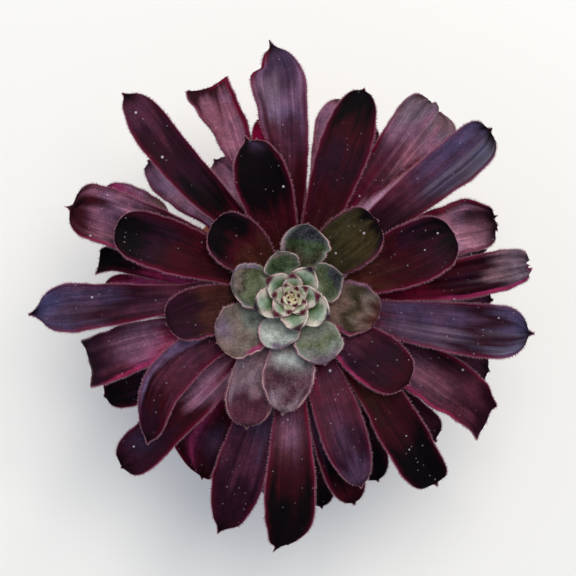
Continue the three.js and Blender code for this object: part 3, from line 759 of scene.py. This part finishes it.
def built(name, spots, faces, skin):
    """A new object from places and faces."""
    mesh = bpy.data.meshes.new(name)
    mesh.from_pydata(spots, [], faces)
    mesh.materials.append(skin)
    return placed(mesh)


def drop(obj):
    mesh = obj.data
    bpy.data.objects.remove(obj)
    bpy.data.meshes.remove(mesh)


def shade_smooth(obj):
    select(obj)
    bpy.ops.object.shade_smooth()


def finish_piece(obj, slot, *nodes):
    """The piece rides on the plant and stands for those nodes. The slot is not used."""
    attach(obj, BODY)
    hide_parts(*nodes)


def store(mesh, name, values):
    layer = mesh.attributes.new(name, "FLOAT", "POINT")
    layer.data.foreach_set("value", values)


# ---------------------------------------------------------------- leaf shapes


def heading(direction, slope=0.0):
    """Unit vector in a direction from +X and at a slope above level, in degrees."""
    flat = math.cos(math.radians(slope))
    turn = math.radians(direction)
    return Vector((flat * math.cos(turn), flat * math.sin(turn), math.sin(math.radians(slope))))


def slopes_at(age):
    """Slopes at a leaf's foot and tip, blended between the rows of the table."""
    for (young, *first), (old, *last) in zip(SLOPES, SLOPES[1:]):
        if age <= old:
            return [lerp(a, b, (age - young) / (old - young)) for a, b in zip(first, last)]
    raise ValueError(f"no slopes for a leaf of age {age}")


def grown_leaf(entry, settings):
    """A large leaf with everything that its age settles, and with its tones as colours."""
    leaf = {**LEAF_DEFAULTS, "wavy": lerp(1.9, 1.0, smooth(3, 12, entry["age"])), **entry}
    launch, arrive = slopes_at(leaf["age"])
    leaf["launch"] = launch + leaf["lift"]
    leaf["arrive"] = arrive + leaf["nod"]
    leaf["height"] = SPIRAL_TOP - SPIRAL_PITCH * leaf["age"]
    tilted = settings.base_thickness / MM / 2 * math.sin(math.radians(abs(leaf["launch"])))
    leaf["root"] = STEM_RADIUS + GAP + tilted
    leaf.setdefault("young", 1 - smooth(3, 9, leaf["age"]))

    def mixed(word):
        return Vector(getattr(settings, word))

    leaf["waxes"] = [WAX.get(word, 0.0) for word in leaf["tones"]]
    leaf["tones"] = [mixed(word) for word in leaf["tones"]]
    for key in ("folds", "sheen"):
        leaf[key] = [(*spot, mixed(word)) for *spot, word in leaf[key]]
    leaf["tip_paint"] = Vector(settings.black)
    return leaf


def heart_leaf(step, settings):
    """A small leaf of the heart. Step 1 is the outermost."""
    size = math.exp(-HEART_SHRINK * (step - 1))
    stray = chance(step * 3.7, 1, 5)
    return {
        **LEAF_DEFAULTS, "age": -step, "step": step,
        "toward": SPIRAL_START - SPIRAL_TURN * step + HEART_LEAD + 8 * stray,
        "reach": settings.reach / MM * size * (1 + 0.1 * stray),
        "width": settings.width / MM * size + HEART_LEAST_WIDTH,
        "widest": 0.56, "neck": 0.6, "cup": 0.36, "wavy": 2.8, "root": HEART_ROOT * size ** 1.5,
        "height": STEM_TOP + GAP + 0.8 + 1.4 * (1 - size), "launch": lerp(78, 62, size),
        "arrive": lerp(68, 34, size), "point": 0.9 * size + 0.3,
        "paints": [Vector(getattr(settings, key)) for key in HEART_PAINTS],
    }


def midrib(leaf):
    """The four control points of the leaf's middle line, in millimetres."""
    direction = SPIRAL_START + SPIRAL_TURN * leaf["age"] + leaf["lean"]
    foot = heading(direction) * leaf["root"] + Vector((0, 0, leaf["height"]))
    tip = heading(leaf["toward"]) * leaf["reach"]
    run = (tip - foot).to_2d().length
    straight = math.degrees(math.atan2(tip.y - foot.y, tip.x - foot.x))
    bend = (straight - direction + 180) % 360 - 180
    tip.z = foot.z + run * math.tan(math.radians((leaf["launch"] + leaf["arrive"]) / 2))
    handle = (tip - foot).length * HANDLE
    near = foot + heading(direction, leaf["launch"]) * handle
    far = tip - heading(straight + bend, leaf["arrive"]) * handle
    return foot, near, far, tip


def on_midrib(points, s):
    """Place and direction at share s of the middle line, which starts straight before its foot."""
    foot, near, far, tip = points
    t = max(s, 0.0)
    r = 1 - t
    place = foot * r ** 3 + near * 3 * r * r * t + far * 3 * r * t * t + tip * t ** 3
    ahead = (near - foot) * 3 * r * r + (far - near) * 6 * r * t + (tip - far) * 3 * t * t
    return place + ahead * min(s, 0.0), ahead.normalized()


def outline(leaf, s):
    """Half the blade's width at share s, as a share of half the widest width."""
    if s <= leaf["widest"]:
        x = max(s, 0.0) / leaf["widest"]
        opening = x ** leaf["flare"] * (1 + leaf["flare"] * (1 - x))
        return leaf["neck"] + (1 - leaf["neck"]) * opening
    x = min(1.0, (s - leaf["widest"]) / (1 - leaf["widest"]))
    rounded = (1 - x ** leaf["square"]) ** (1 / leaf["square"])
    return leaf["cut"] + (1 - leaf["cut"]) * rounded


class Blade:
    """Turns places on the flat blank into places on one leaf, in millimetres.

    s is the share along the leaf, and u runs across it from -1 at the left margin to 1.
    """

    SHEATH = 2.0  # length that runs into the stem
    ROUNDING = 0.28  # how far the faces stop short of the margin's middle

    def __init__(self, leaf, settings, sheath=SHEATH):
        self.leaf = leaf
        self.curve = midrib(leaf)
        self.length = (self.curve[3] - self.curve[0]).length * 1.03
        self.sheath = sheath / self.length
        self.base = settings.base_thickness / MM
        self.middle = settings.blade_thickness / MM
        self.margin = settings.margin_thickness / MM
        self.groove = settings.groove / MM
        self.uneven = settings.unevenness / MM
        self.seed = Vector((leaf["age"] * 7.3, 11.0, leaf["age"] * 3.1))

    def chance(self, x, y, z):
        """As the function of that name, but different on each leaf."""
        return noise.noise(self.seed + Vector((x, y, z)))

    def half_width(self, s, u):
        """Distance from the middle line to the margin on u's side."""
        leaf = self.leaf
        # The rounded end closes just before the tip, and the point runs on from there.
        end = 1 - 0.75 * leaf["point"] / self.length
        rounded = leaf["width"] / 2 * outline(leaf, min(1.0, s / end))
        from_tip = (1 - s) * self.length
        sharp = 0.1 + 0.62 * leaf["point"] * min(1.5, from_tip / leaf["point"]) ** 1.6
        half = max(rounded, min(sharp, leaf["width"] * 0.3))
        # Each side has its own widths, and a margin that wavers slowly and flutters fast.
        half *= between((0.2, *PLACES), (1.0, *leaf["right" if u > 0 else "left"]), s)
        side = math.copysign(3, u)
        waver = 0.05 * self.chance(s * 4.5, side, 0) + 0.035 * self.chance(s * 22, side, 4)
        half *= 1 + leaf["wavy"] * waver * smooth(0.05, 0.3, s)
        if leaf["notch"] and u < 0:
            notched = smooth(NOTCH_AT - 0.01, NOTCH_AT + 0.015, s) * (1 - smooth(0.97, 1, s))
            half *= 1 - leaf["notch"] * notched
        return half

    def bite(self, u):
        """How far the end is drawn back at u."""
        leaf = self.leaf
        back = leaf["hollow"] * (1 - u * u) + (abs(leaf["slant"]) - leaf["slant"] * u) / 2
        back += leaf["ragged"] * (0.5 + self.chance(u * 2.2, 5, 0))
        return back + sum(depth * math.exp(-((u - at) / width) ** 2)
                          for at, depth, width in leaf["bites"])

    def rise(self, s, u, half, end):
        """How far the blade stands above its middle line."""
        leaf = self.leaf
        out = max(s, 0)
        rise = leaf["cup"] * half * u * u * min(1.0, 2 * out)
        rise += leaf["ripple"] * u ** 4 * math.sin(2 * math.pi * (s * RIPPLES + u / 6)) * out
        # The channel along the middle fades towards the foot and the end.
        rise -= self.groove * math.exp(-(u / 0.16) ** 2) * smooth(0.1, 0.5, s) * (1 - end * 0.6)
        rise += leaf["ribs"] * math.sin(u * 9 + leaf["age"]) * smooth(0.35, 0.8, s)
        rise -= leaf["droop"] * smooth(0.84, 1.0, s) ** 2
        # The margins are crinkled, and a notched one hangs down.
        crinkle = self.chance(s * 13, u * 0.8, 9) * abs(u) ** 3
        rise += self.uneven * 1.3 * crinkle * smooth(0.1, 0.4, s)
        if leaf["notch"] and u < 0:
            rise += 1.5 * u * smooth(0.82, 0.92, s)
        return rise

    def place(self, across, along, face):
        """Place on the leaf, share along it, distance to the margin and how far +Y that side lies.

        Across runs from -1 to 1 and along from 0 to 1. The upper face is 1 and the lower one -1.
        """
        leaf = self.leaf
        s = lerp(-self.sheath, 1.0, 1 - (1 - along) ** END_CROWDING)
        u = math.copysign(1 - (1 - abs(across)) ** MARGIN_CROWDING, across)
        end = smooth(0.8, 1.0, s)
        t = s - self.bite(u) / self.length * end
        if along == 1 and face:
            t -= self.ROUNDING * 0.6 / self.length
        middle, ahead = on_midrib(self.curve, t)
        level = ahead.cross(Vector((0, 0, 1))).normalized()
        turn = -math.radians(leaf["roll"]) * max(s, 0)
        right = level * math.cos(turn) + ahead.cross(level) * math.sin(turn)
        up = right.cross(ahead)

        # The faces stop short of the margin, so that its middle row rounds it.
        half = self.half_width(s, u)
        inset = u * max(0.0, 1 - self.ROUNDING / half) if abs(across) == 1 and face else u
        beyond = max(0.0, (s - leaf["widest"]) / (1 - leaf["widest"]))
        sideways = leaf["skew"] * leaf["width"] * beyond ** 2 / 2
        sideways += leaf["sway"] * smooth(0.15, 0.6, s) * (1 - smooth(0.7, 1.0, s))
        thickness = lerp(self.base, self.middle, math.sqrt(max(s, 0)))
        for towards_margin in (beyond ** 2, u * u):
            thickness = lerp(thickness, self.margin, towards_margin)
        swell = noise.noise((middle + right * (u * half)) * 0.11 + self.seed)
        rise = self.rise(s, u, half, end) + self.uneven * swell * smooth(0.15, 0.5, s)
        spot = middle + right * (inset * half + sideways) + up * (rise + face * thickness / 2)
        to_margin = min(half * (1 - abs(u)), (1 - s) * self.length)
        return spot + ROSETTE, s, to_margin, right.y * math.copysign(1, u)


def blade_blank(cuts_along, cuts_across):
    """A flat closed slab, 2 long and 2 wide, with a middle row round its margin."""
    deselect()
    bpy.ops.mesh.primitive_grid_add(
        x_subdivisions=cuts_across, y_subdivisions=cuts_along, size=2, calc_uvs=False,
        location=(0, 0, -1))
    blank = bpy.context.object
    bpy.ops.object.transform_apply(location=True)
    enter_mesh()
    for _ in range(2):
        bpy.ops.mesh.extrude_region_move(TRANSFORM_OT_translate={"value": (0, 0, 1)})
    leave_mesh()
    return blank


def leaf_tone(blade, s, u, to_margin):
    """Colour and wax of a large leaf at that place. Both run on along its veins."""
    leaf = blade.leaf
    # The tones are drawn out into streaks, and soft clouds break up where they meet.
    streak = blade.chance(u * 4.5, s * 0.9, 20) + 0.5 * blade.chance(u * 10, s * 1.4, 25)
    cloud = blade.chance(u * 1.6, s * 5, 30)
    at = s + 0.11 * streak + 0.12 * cloud
    tone, wax = between(STOPS, leaf["tones"], at), between(STOPS, leaf["waxes"], at)
    # A turned margin has a tone of its own, and painted shade darkens the crease along it.
    for side, width, start, end, fold in leaf["folds"]:
        if side * u < 0:
            continue
        wide = width * (1 - 0.8 * max(0.0, (s - start) / (end - start)) ** 2)
        reaches = smooth(start, start + 0.1, at) * (1 - smooth(end - 0.1, end, s) * abs(side))
        inside = to_margin + 0.4 * streak
        crease = math.exp(-((inside - wide) / 0.4) ** 2) * reaches * min(1.0, width / 3)
        tone = tone.lerp(fold, (1 - smooth(wide * 0.7, wide, inside)) * reaches)
        tone = tone * (1 - 0.5 * crease)
    # Paler spots, most of them painted highlights, then painted shade that lightens one side of
    # the leaf and darkens the other, then its nearly black tip.
    for place, side, long, wide, spot in leaf["sheen"]:
        near = ((s - place) / long) ** 2 + ((u - side) / wide) ** 2
        tone = tone.lerp(spot, 0.7 * math.exp(-near))
    # Painted shade: one side of the leaf is made lighter and the other darker.
    tone = tone * lerp(*leaf["shade"], smooth(-1, 1, u))
    inked = smooth(0.93, 0.985, s + 0.02 * streak) * min(1.0, leaf["point"] / 1.5)
    return tone.lerp(leaf["tip_paint"], inked), wax * (1 - inked)


def heart_tone(blade, s, u, to_margin):
    """Colour and wax of a heart leaf: pale green, a broad pale margin and a dark tip."""
    green, glow, frost, rim, blush, dark_tip, red_tip = blade.leaf["paints"]
    step = blade.leaf["step"]
    inner = smooth(4, 20, step)
    # Green that is paler on the inner leaves. The outer ones turn frosty at the tip and margins.
    cloud = blade.chance(u * 3, s * 4, 0)
    pale = smooth(0.45, 1.0, s + 0.45 * u * u + 0.3 * cloud)
    tone = green.lerp(glow, inner).lerp(frost, pale * (1 - inner) * 0.7)
    # The margin has a ragged inner edge and is pink in places.
    ragged = 0.9 * blade.chance(u * 2, s * 7, 3)
    band = 0.5 + 0.3 * blade.leaf["width"]
    margin = (1 - smooth(0.0, band, to_margin + ragged)) * smooth(0.1, 0.4, s)
    pink = 0.5 + blade.chance(u * 2, s * 3, 7)
    tone = tone.lerp(rim.lerp(blush, max(0.0, min(1.0, pink)) * 0.8), margin * 0.85)
    # The dark tip, which is smaller and redder on the inner leaves.
    size = lerp(2.5, 1.5, smooth(3, 14, step))
    from_tip = (1 - s) * blade.length + 0.5 * cloud + 0.3 * abs(u) * size
    point = 1 - smooth(0.6 * size, size, from_tip)
    return tone.lerp(dark_tip.lerp(red_tip, smooth(3, 6, step)), point), 0.1


def shape_blade(blank, blade, name, tone_at):
    """A copy of the blank, bent into that leaf, with its map, its colours and its values."""
    mesh = blank.data.copy()
    mesh.name = name
    stored = {key: [] for key in ("rim", "under", "edge", "wax")}
    tones, flat = [], []
    for vertex in mesh.vertices:
        across, along = round(vertex.co.x, 5), round((vertex.co.y + 1) / 2, 5)
        face = round(vertex.co.z)
        spot, s, to_margin, northward = blade.place(across, along, face)
        vertex.co = spot * MM
        flat.append(((across + 1) / 2, s))
        tone, wax = tone_at(blade, s, across, to_margin)
        tones += [*tone, 1.0]
        stored["wax"].append(wax)
        stored["rim"].append(max(0.0, to_margin))
        stored["under"].append((1 - face) / 2)
        # Edge: how strongly the margin's own colour and its painted through-light show; painted
        # stronger on the sides that face away from +Y, and weaker at the tip.
        stored["edge"].append((0.68 - 0.32 * northward) * (1 - 0.6 * smooth(0.86, 0.98, s)))
    layer = mesh.uv_layers.new(name=BLADE_MAP)
    for loop in mesh.loops:
        layer.data[loop.index].uv = flat[loop.vertex_index]
    mesh.attributes.new("tone", "FLOAT_COLOR", "POINT").data.foreach_set("color", tones)
    for key, numbers in stored.items():
        store(mesh, key, numbers)
    return placed(mesh)


def hair_pattern():
    """One hair: a slim three-sided cone, 1 long and 1 wide, that points along +Z."""
    deselect()
    bpy.ops.mesh.primitive_cone_add(
        vertices=3, radius1=0.5, radius2=0, depth=1, location=(0, 0, 0.5))
    bpy.ops.object.transform_apply(location=True)
    return bpy.context.object


def fringe(pattern, blade, name, settings, draw, scale=1.0):
    """Hairs along both margins of a leaf, and along its end if that is cut."""
    spots, faces = [], []
    shape = [vertex.co.copy() for vertex in pattern.data.vertices]
    rings = [list(face.vertices) for face in pattern.data.polygons]
    spacing = settings.hair_spacing / MM * scale
    wide = settings.hair_width / MM * scale
    hairs = int(blade.length / spacing)
    feet = []  # places across and along: of the hair, of a spot within and of one beside it
    for side in (-1, 1):
        for i in range(hairs):
            along = (i + draw.uniform(0.2, 0.8)) / hairs
            if along > FIRST_HAIR:
                feet.append(((side, along), (side * 0.8, along), (side, along - 0.01)))
    for _ in range(int(blade.leaf["width"] * blade.leaf["cut"] / spacing)):
        across = draw.uniform(-0.95, 0.95)
        feet.append(((across, 1), (across, 0.9), (across - 0.02, 1)))
    for at, within, beside in feet:
        foot, s = blade.place(*at, 0)[:2]
        if blade.leaf["notch"] and at[0] < 0 and abs(s - NOTCH_AT) < 0.03:
            continue
        # A hair stands out from the margin and leans towards the tip, a little up or down.
        out = (foot - blade.place(*within, 0)[0]).normalized()
        ahead = (foot - blade.place(*beside, 0)[0]).normalized()
        size = settings.hair_length / MM * draw.uniform(0.55, 1.0) * scale
        rise = Vector((0, 0, draw.uniform(-0.2, 0.3)))
        axis = (out + ahead * draw.uniform(-0.1, 0.5) + rise).normalized()
        turn = axis.to_track_quat("Z", "Y")
        first = len(spots)
        for corner in shape:
            grown = Vector((corner.x * wide, corner.y * wide, corner.z * size - 0.06))
            spots.append((foot + turn @ grown) * MM)
        faces += [[first + corner for corner in ring] for ring in rings]
    return built(name, spots, faces, hair_skin(settings))


class AEONIUM_OT_leaves(bpy.types.Operator):
    """Make the large leaves with their fringes of hairs"""

    bl_idname = "aeonium.leaves"
    bl_label = "Leaves"

    def execute(self, context):
        settings = context.scene.aeonium_leaves
        draw = random.Random(LEAF_SEED)
        blank = blade_blank(*BLADE_CUTS)
        pattern = hair_pattern()
        skins = {
            "young_leaf": leaf_skin("Young leaf", settings, settings.frost, settings.frost),
            "ring_leaf": leaf_skin("Ring leaf", settings, settings.grape, settings.mauve),
            "dark_leaf": leaf_skin("Dark leaf", settings, settings.wine, settings.mauve),
        }
        for entry in LEAVES:
            leaf = grown_leaf(entry, settings)
            age = leaf["age"]
            slot = next(finish for limit, finish in FINISHES if age < limit)
            blade = Blade(leaf, settings)
            piece = shape_blade(blank, blade, f"blade_{age:02d}", leaf_tone)
            store(piece.data, "young", [leaf["young"]] * len(piece.data.vertices))
            piece.data.materials.append(skins[slot])
            scale = 0.85 if age < 8 else 1.0
            hairs = fringe(pattern, blade, f"hairs_{age:02d}", settings, draw, scale)
            piece = join([piece, hairs], f"blade_{age:02d}")
            shade_smooth(piece)
            finish_piece(piece, slot, f"leaf_{age:02d}")
        drop(blank)
        drop(pattern)
        return {"FINISHED"}


class AEONIUM_OT_heart(bpy.types.Operator):
    """Make the small leaves round the growing tip"""

    bl_idname = "aeonium.heart"
    bl_label = "Heart"

    def execute(self, context):
        settings = context.scene.aeonium_heart
        leaves = context.scene.aeonium_leaves
        draw = random.Random(HEART_SEED)
        blank = blade_blank(*HEART_CUTS)
        pattern = hair_pattern()
        skin = heart_skin()
        parts = []
        for step in range(1, settings.leaves + 1):
            blade = Blade(heart_leaf(step, settings), leaves, sheath=HEART_SHEATH)
            blade.groove, blade.uneven = HEART_GROOVE, HEART_UNEVEN
            part = shape_blade(blank, blade, f"heart_{step}", heart_tone)
            part.data.materials.append(skin)
            parts.append(part)
            if step <= HEART_FRINGED:
                parts.append(fringe(pattern, blade, f"heart_hairs_{step}", leaves, draw, 0.5))
        piece = join(parts, "heart_leaves")
        shade_smooth(piece)
        finish_piece(piece, "heart_leaf", "heart")
        drop(blank)
        drop(pattern)
        return {"FINISHED"}


# ---------------------------------------------------------------- pot, soil and stem


def inside_radius(height):
    """Radius of the pot's hollow at a height."""
    return FOOT_RADIUS + (WALL_TOP - FOOT_RADIUS) / BAND_FOOT * height - WALL


SOIL_RADIUS = inside_radius(SOIL_TOP) - GAP


def softened(profile, radius, steps, longest):
    """The closed profile with its corners rounded and its long sides cut into short ones."""
    corners = [Vector(point) for point in profile]
    rounded = []
    for i, corner in enumerate(corners):
        before, after = corners[i - 1], corners[(i + 1) % len(corners)]
        reach = min(radius, (before - corner).length / 2.2, (after - corner).length / 2.2)
        start = corner + (before - corner).normalized() * reach
        end = corner + (after - corner).normalized() * reach
        for step in range(steps + 1):
            t = step / steps
            rounded.append(start * (1 - t) ** 2 + corner * 2 * t * (1 - t) + end * t * t)
    cut = []
    for i, point in enumerate(rounded):
        after = rounded[(i + 1) % len(rounded)]
        pieces = max(1, round((after - point).length / longest))
        cut += [point.lerp(after, step / pieces) for step in range(pieces)]
    return cut


def spun(name, section, sides):
    """A closed section of (radius, height) points, spun round the pot's axis."""
    deselect()
    bpy.ops.mesh.primitive_circle_add(vertices=len(section), radius=1)
    obj = bpy.context.object
    obj.name = obj.data.name = name
    for vertex, (radius, height) in zip(obj.data.vertices, section):
        vertex.co = Vector((radius, 0, height)) * MM
    enter_mesh()
    bpy.ops.mesh.spin(steps=sides, angle=2 * math.pi, center=(0, 0, 0), axis=(0, 0, 1))
    bpy.ops.mesh.select_all(action="SELECT")
    bpy.ops.mesh.remove_doubles(threshold=MERGE)
    leave_mesh()
    return obj


class AEONIUM_OT_pot(bpy.types.Operator):
    """Turn the clay pot"""

    bl_idname = "aeonium.pot"
    bl_label = "Pot"

    def execute(self, context):
        settings = context.scene.aeonium_pot
        profile = [
            (DRAIN_RADIUS, 0), (FOOT_RADIUS, 0), (WALL_TOP, BAND_FOOT), (BAND_RADIUS, BAND_FOOT),
            (RIM_RADIUS, POT_HEIGHT), (inside_radius(POT_HEIGHT), POT_HEIGHT),
            (inside_radius(FLOOR), FLOOR), (DRAIN_RADIUS, FLOOR),
        ]
        section = softened(profile, radius=1.0, steps=5, longest=0.9)
        pot = spun("clay_pot", section, settings.sides)
        for vertex in pot.data.vertices:
            x, y, z = vertex.co / MM
            radius = math.hypot(x, y)
            if radius < DRAIN_RADIUS + 3:
                continue
            # Turning marks and shallow dents, none of them on the foot or the lip.
            rings = chance(z * 0.9, radius * 0.3, 2) * 0.1
            dents = chance(x * 0.06, y * 0.06, z * 0.05) * 0.22
            keep = smooth(0.5, 3, z) * smooth(0.2, 1.5, POT_HEIGHT - z)
            factor = 1 + (rings + dents - 0.15) * keep / radius
            vertex.co.x *= factor
            vertex.co.y *= factor
        pot.data.materials.append(clay_skin(settings))
        shade_smooth(pot)
        finish_piece(pot, "clay", "pot")
        return {"FINISHED"}


def soil_height(x, y):
    """Height of the soil's surface, in millimetres."""
    radius = math.hypot(x, y)
    out = (radius - SOIL_HOLE) / (SOIL_RADIUS - SOIL_HOLE)
    heap = SOIL_HEAP * (1 - min(1.0, max(0.0, out)))
    lumps = 0.75 * chance(x * 0.22, y * 0.22, 3) + 0.4 * chance(x * 0.7, y * 0.7, 8)
    return SOIL_TOP + heap + lumps * smooth(0, 1.5, SOIL_RADIUS - radius)


def scatter(name, number, smallest, largest, skin, draw):
    """Loose grains on top of the soil."""
    deselect()
    bpy.ops.mesh.primitive_ico_sphere_add(subdivisions=1, radius=1)
    pattern = bpy.context.object
    spots, faces = [], []
    for _ in range(number):
        turn = draw.uniform(0, 2 * math.pi)
        radius = math.sqrt(draw.uniform(7.5 ** 2, (SOIL_RADIUS - 1.5) ** 2))
        x, y = radius * math.cos(turn), radius * math.sin(turn)
        size = draw.uniform(smallest, largest)
        centre = Vector((x, y, soil_height(x, y) + size * 0.2))
        seed = Vector((x, y, size)) * 3
        stretch = [draw.uniform(0.7, 1.4), draw.uniform(0.7, 1.2), draw.uniform(0.5, 0.9)]
        first = len(spots)
        # A grain is the same ball as the others, dented and squashed in its own way.
        for vertex in pattern.data.vertices:
            corner = vertex.co * (1 + 0.5 * noise.noise(vertex.co * 1.7 + seed))
            spot = centre + Vector(a * b for a, b in zip(corner, stretch)) * size
            spots.append(spot * MM)
        faces += [[first + i for i in face.vertices] for face in pattern.data.polygons]
    drop(pattern)
    return built(name, spots, faces, skin)


class AEONIUM_OT_soil(bpy.types.Operator):
    """Fill the pot with soil, crumbs and grit"""

    bl_idname = "aeonium.soil"
    bl_label = "Soil"

    def execute(self, context):
        settings = context.scene.aeonium_soil
        draw = random.Random(SOIL_SEED)
        axis = 0.01  # as near the axis as a spun section may come
        tucked = SOIL_HOLE - 0.5  # the soil ends under the bark
        bottom, under_stem = FLOOR + GAP, STEM_FOOT - GAP
        section = [(axis, bottom), (inside_radius(FLOOR) - GAP, bottom)]
        section += [(lerp(SOIL_RADIUS, tucked, step / SOIL_RINGS), SOIL_TOP)
                    for step in range(SOIL_RINGS + 1)]
        section += [(tucked, under_stem), (axis, under_stem)]
        bed = spun("soil_bed", section, SOIL_SIDES)
        for vertex in bed.data.vertices:
            x, y, z = vertex.co / MM
            if abs(z - SOIL_TOP) < 0.01:
                vertex.co.z = soil_height(x, y) * MM
        bed.data.materials.append(earth_skin("Earth", settings.earth, 0.95))
        shade_smooth(bed)
        crumb = earth_skin("Crumb", settings.earth, 1.5)
        grit = earth_skin("Grit", settings.stone, 0.9)
        crumbs = scatter("crumb", settings.crumbs, 0.35, 1.3, crumb, draw)
        grains = scatter("grit", settings.grit, 0.4, 1.1, grit, draw)
        soil = join([bed, crumbs, grains], "potting_soil")
        finish_piece(soil, "soil", "soil")
        return {"FINISHED"}


def stem_ring(height):
    """Middle and radius of the stem at a height, in millimetres."""
    lean = smooth(53.5, 75, height)
    return ROSETTE * lean, lerp(STEM_FOOT_RADIUS, STEM_RADIUS, smooth(54, 65, height))


def leaf_scars(number):
    """Direction and height of each scar, on the spiral below the oldest leaf."""
    first, top, pitch = LEAVES[-1]["age"] + 1, 79.5, 0.66
    return [((SPIRAL_START + SPIRAL_TURN * (first + step)) % 360, top - step * pitch)
            for step in range(number)]


def scarred(turn, height, scars):
    """How far the scars' raised edges and their sunken faces reach that place, from 0 to 1."""
    raised, mark = 0.0, 0.0
    for direction, level in scars:
        aside = ((turn - direction + 180) % 360 - 180) / 34
        above = (height - level) / 1.15
        if abs(aside) > 1.3 or abs(above) > 2:
            continue
        spread = aside * aside + above * above
        raised = max(raised, math.exp(-((spread - 0.8) / 0.35) ** 2))
        mark = max(mark, 1 - smooth(0.2, 0.9, spread))
    return raised, mark


class AEONIUM_OT_stem(bpy.types.Operator):
    """Raise the bare stem with the scars of its dropped leaves"""

    bl_idname = "aeonium.stem"
    bl_label = "Stem"

    def execute(self, context):
        settings = context.scene.aeonium_stem
        depth = settings.scar_depth / MM
        scars = leaf_scars(settings.scars)
        deselect()
        bpy.ops.mesh.primitive_grid_add(
            x_subdivisions=STEM_CUTS[1], y_subdivisions=STEM_CUTS[0], size=2)
        stem = bpy.context.object
        stem.name = stem.data.name = "woody_stem"
        marks = []
        for vertex in stem.data.vertices:
            turn = (vertex.co.x + 1) * 180
            height = lerp(STEM_FOOT, STEM_TOP, (vertex.co.y + 1) / 2)
            middle, radius = stem_ring(height)
            raised, mark = scarred(turn, height, scars)
            way = heading(turn)
            rough = chance(way.x * 5, way.y * 5, height * 0.45)
            cracks = chance(way.x * 14, way.y * 14, height * 0.25)
            out = radius - 0.25 + depth * (0.8 * raised - 0.5 * mark) + 0.2 * rough + 0.15 * cracks
            vertex.co = (middle + way * out + Vector((0, 0, height))) * MM
            marks.append(mark)
        store(stem.data, "scar", marks)
        # The grid's two sides meet, and each open end gets a face.
        enter_mesh()
        bpy.ops.mesh.remove_doubles(threshold=MERGE)
        bpy.ops.mesh.select_all(action="DESELECT")
        bpy.ops.mesh.select_non_manifold()
        bpy.ops.mesh.edge_face_add()
        leave_mesh()
        stem.data.materials.append(bark_skin(settings))
        shade_smooth(stem)
        finish_piece(stem, "bark", "stem")
        return {"FINISHED"}


# ---------------------------------------------------------------- stage


def hang_lamp(name, place, size, power, tint):
    """A square soft lamp that shines at the rosette."""
    target = Vector((0, 0, 0.08))
    bpy.ops.object.light_add(type="AREA", location=place)
    lamp = bpy.context.object
    lamp.name = name
    lamp.rotation_euler = (target - Vector(place)).to_track_quat("-Z", "Y").to_euler()
    lamp.data.size = size
    lamp.data.energy = power
    lamp.data.color = tint


class AEONIUM_OT_stage(bpy.types.Operator):
    """Lay the floor, hang the lamps and set the camera straight above the rosette"""

    bl_idname = "aeonium.stage"
    bl_label = "Stage"

    def execute(self, context):
        scene = context.scene
        settings = scene.aeonium_stage
        deselect()
        bpy.ops.mesh.primitive_plane_add(size=6, location=(0, 0, 0))
        floor = bpy.context.object
        floor.name = "floor"
        floor.data.materials.append(Skin("Pale floor").finish(opaque(settings.floor), 0.9))

        warm, cool = (1.0, 0.95, 0.87), (0.86, 0.92, 1.0)
        hang_lamp("key", (0.13, 0.29, 1.0), 0.5, settings.key_power, warm)
        hang_lamp("fill", (-0.7, 0.2, 0.8), 0.9, settings.key_power * 0.1, cool)
        world = bpy.data.worlds.new("Soft light")
        world.use_nodes = True
        background = world.node_tree.nodes["Background"].inputs
        background["Color"].default_value = opaque(settings.sky)
        background["Strength"].default_value = settings.sky_strength
        scene.world = world
        scene.view_settings.view_transform = "Standard"

        bpy.ops.object.camera_add(
            location=(1.526 * MM, 1.842 * MM, settings.camera_height), rotation=(0, 0, 0))
        scene.camera = bpy.context.object
        scene.camera.name = "camera"
        view = scene.camera.data
        view.lens = settings.lens
        view.sensor_width = 36
        view.clip_start, view.clip_end = 0.01, 10
        return {"FINISHED"}


# ---------------------------------------------------------------- panel and run


class AEONIUM_PT_panel(bpy.types.Panel):
    """Lists the steps that dress the plant"""

    bl_idname = "AEONIUM_PT_panel"
    bl_label = "Potted Aeonium"
    bl_space_type = "VIEW_3D"
    bl_region_type = "UI"
    bl_category = "Aeonium"

    def draw(self, context):
        for operator in OPERATORS:
            self.layout.operator(operator.bl_idname)


SETTINGS = {
    "aeonium_leaves": LeafSettings,
    "aeonium_heart": HeartSettings,
    "aeonium_stem": StemSettings,
    "aeonium_soil": SoilSettings,
    "aeonium_pot": PotSettings,
    "aeonium_stage": StageSettings,
}
OPERATORS = (
    AEONIUM_OT_pot, AEONIUM_OT_soil, AEONIUM_OT_stem, AEONIUM_OT_leaves, AEONIUM_OT_heart,
    AEONIUM_OT_stage,
)
CLASSES = (*SETTINGS.values(), *OPERATORS, AEONIUM_PT_panel)


def register():
    for registered in CLASSES:
        bpy.utils.register_class(registered)
    for name, settings in SETTINGS.items():
        setattr(bpy.types.Scene, name, bpy.props.PointerProperty(type=settings))


def unregister():
    for name in SETTINGS:
        delattr(bpy.types.Scene, name)
    for registered in reversed(CLASSES):
        bpy.utils.unregister_class(registered)


def main():
    register()
    bpy.ops.aeonium.pot()
    bpy.ops.aeonium.soil()
    bpy.ops.aeonium.stem()
    bpy.ops.aeonium.leaves()
    bpy.ops.aeonium.heart()
    bpy.ops.aeonium.stage()


if __name__ == "__main__":
    main()
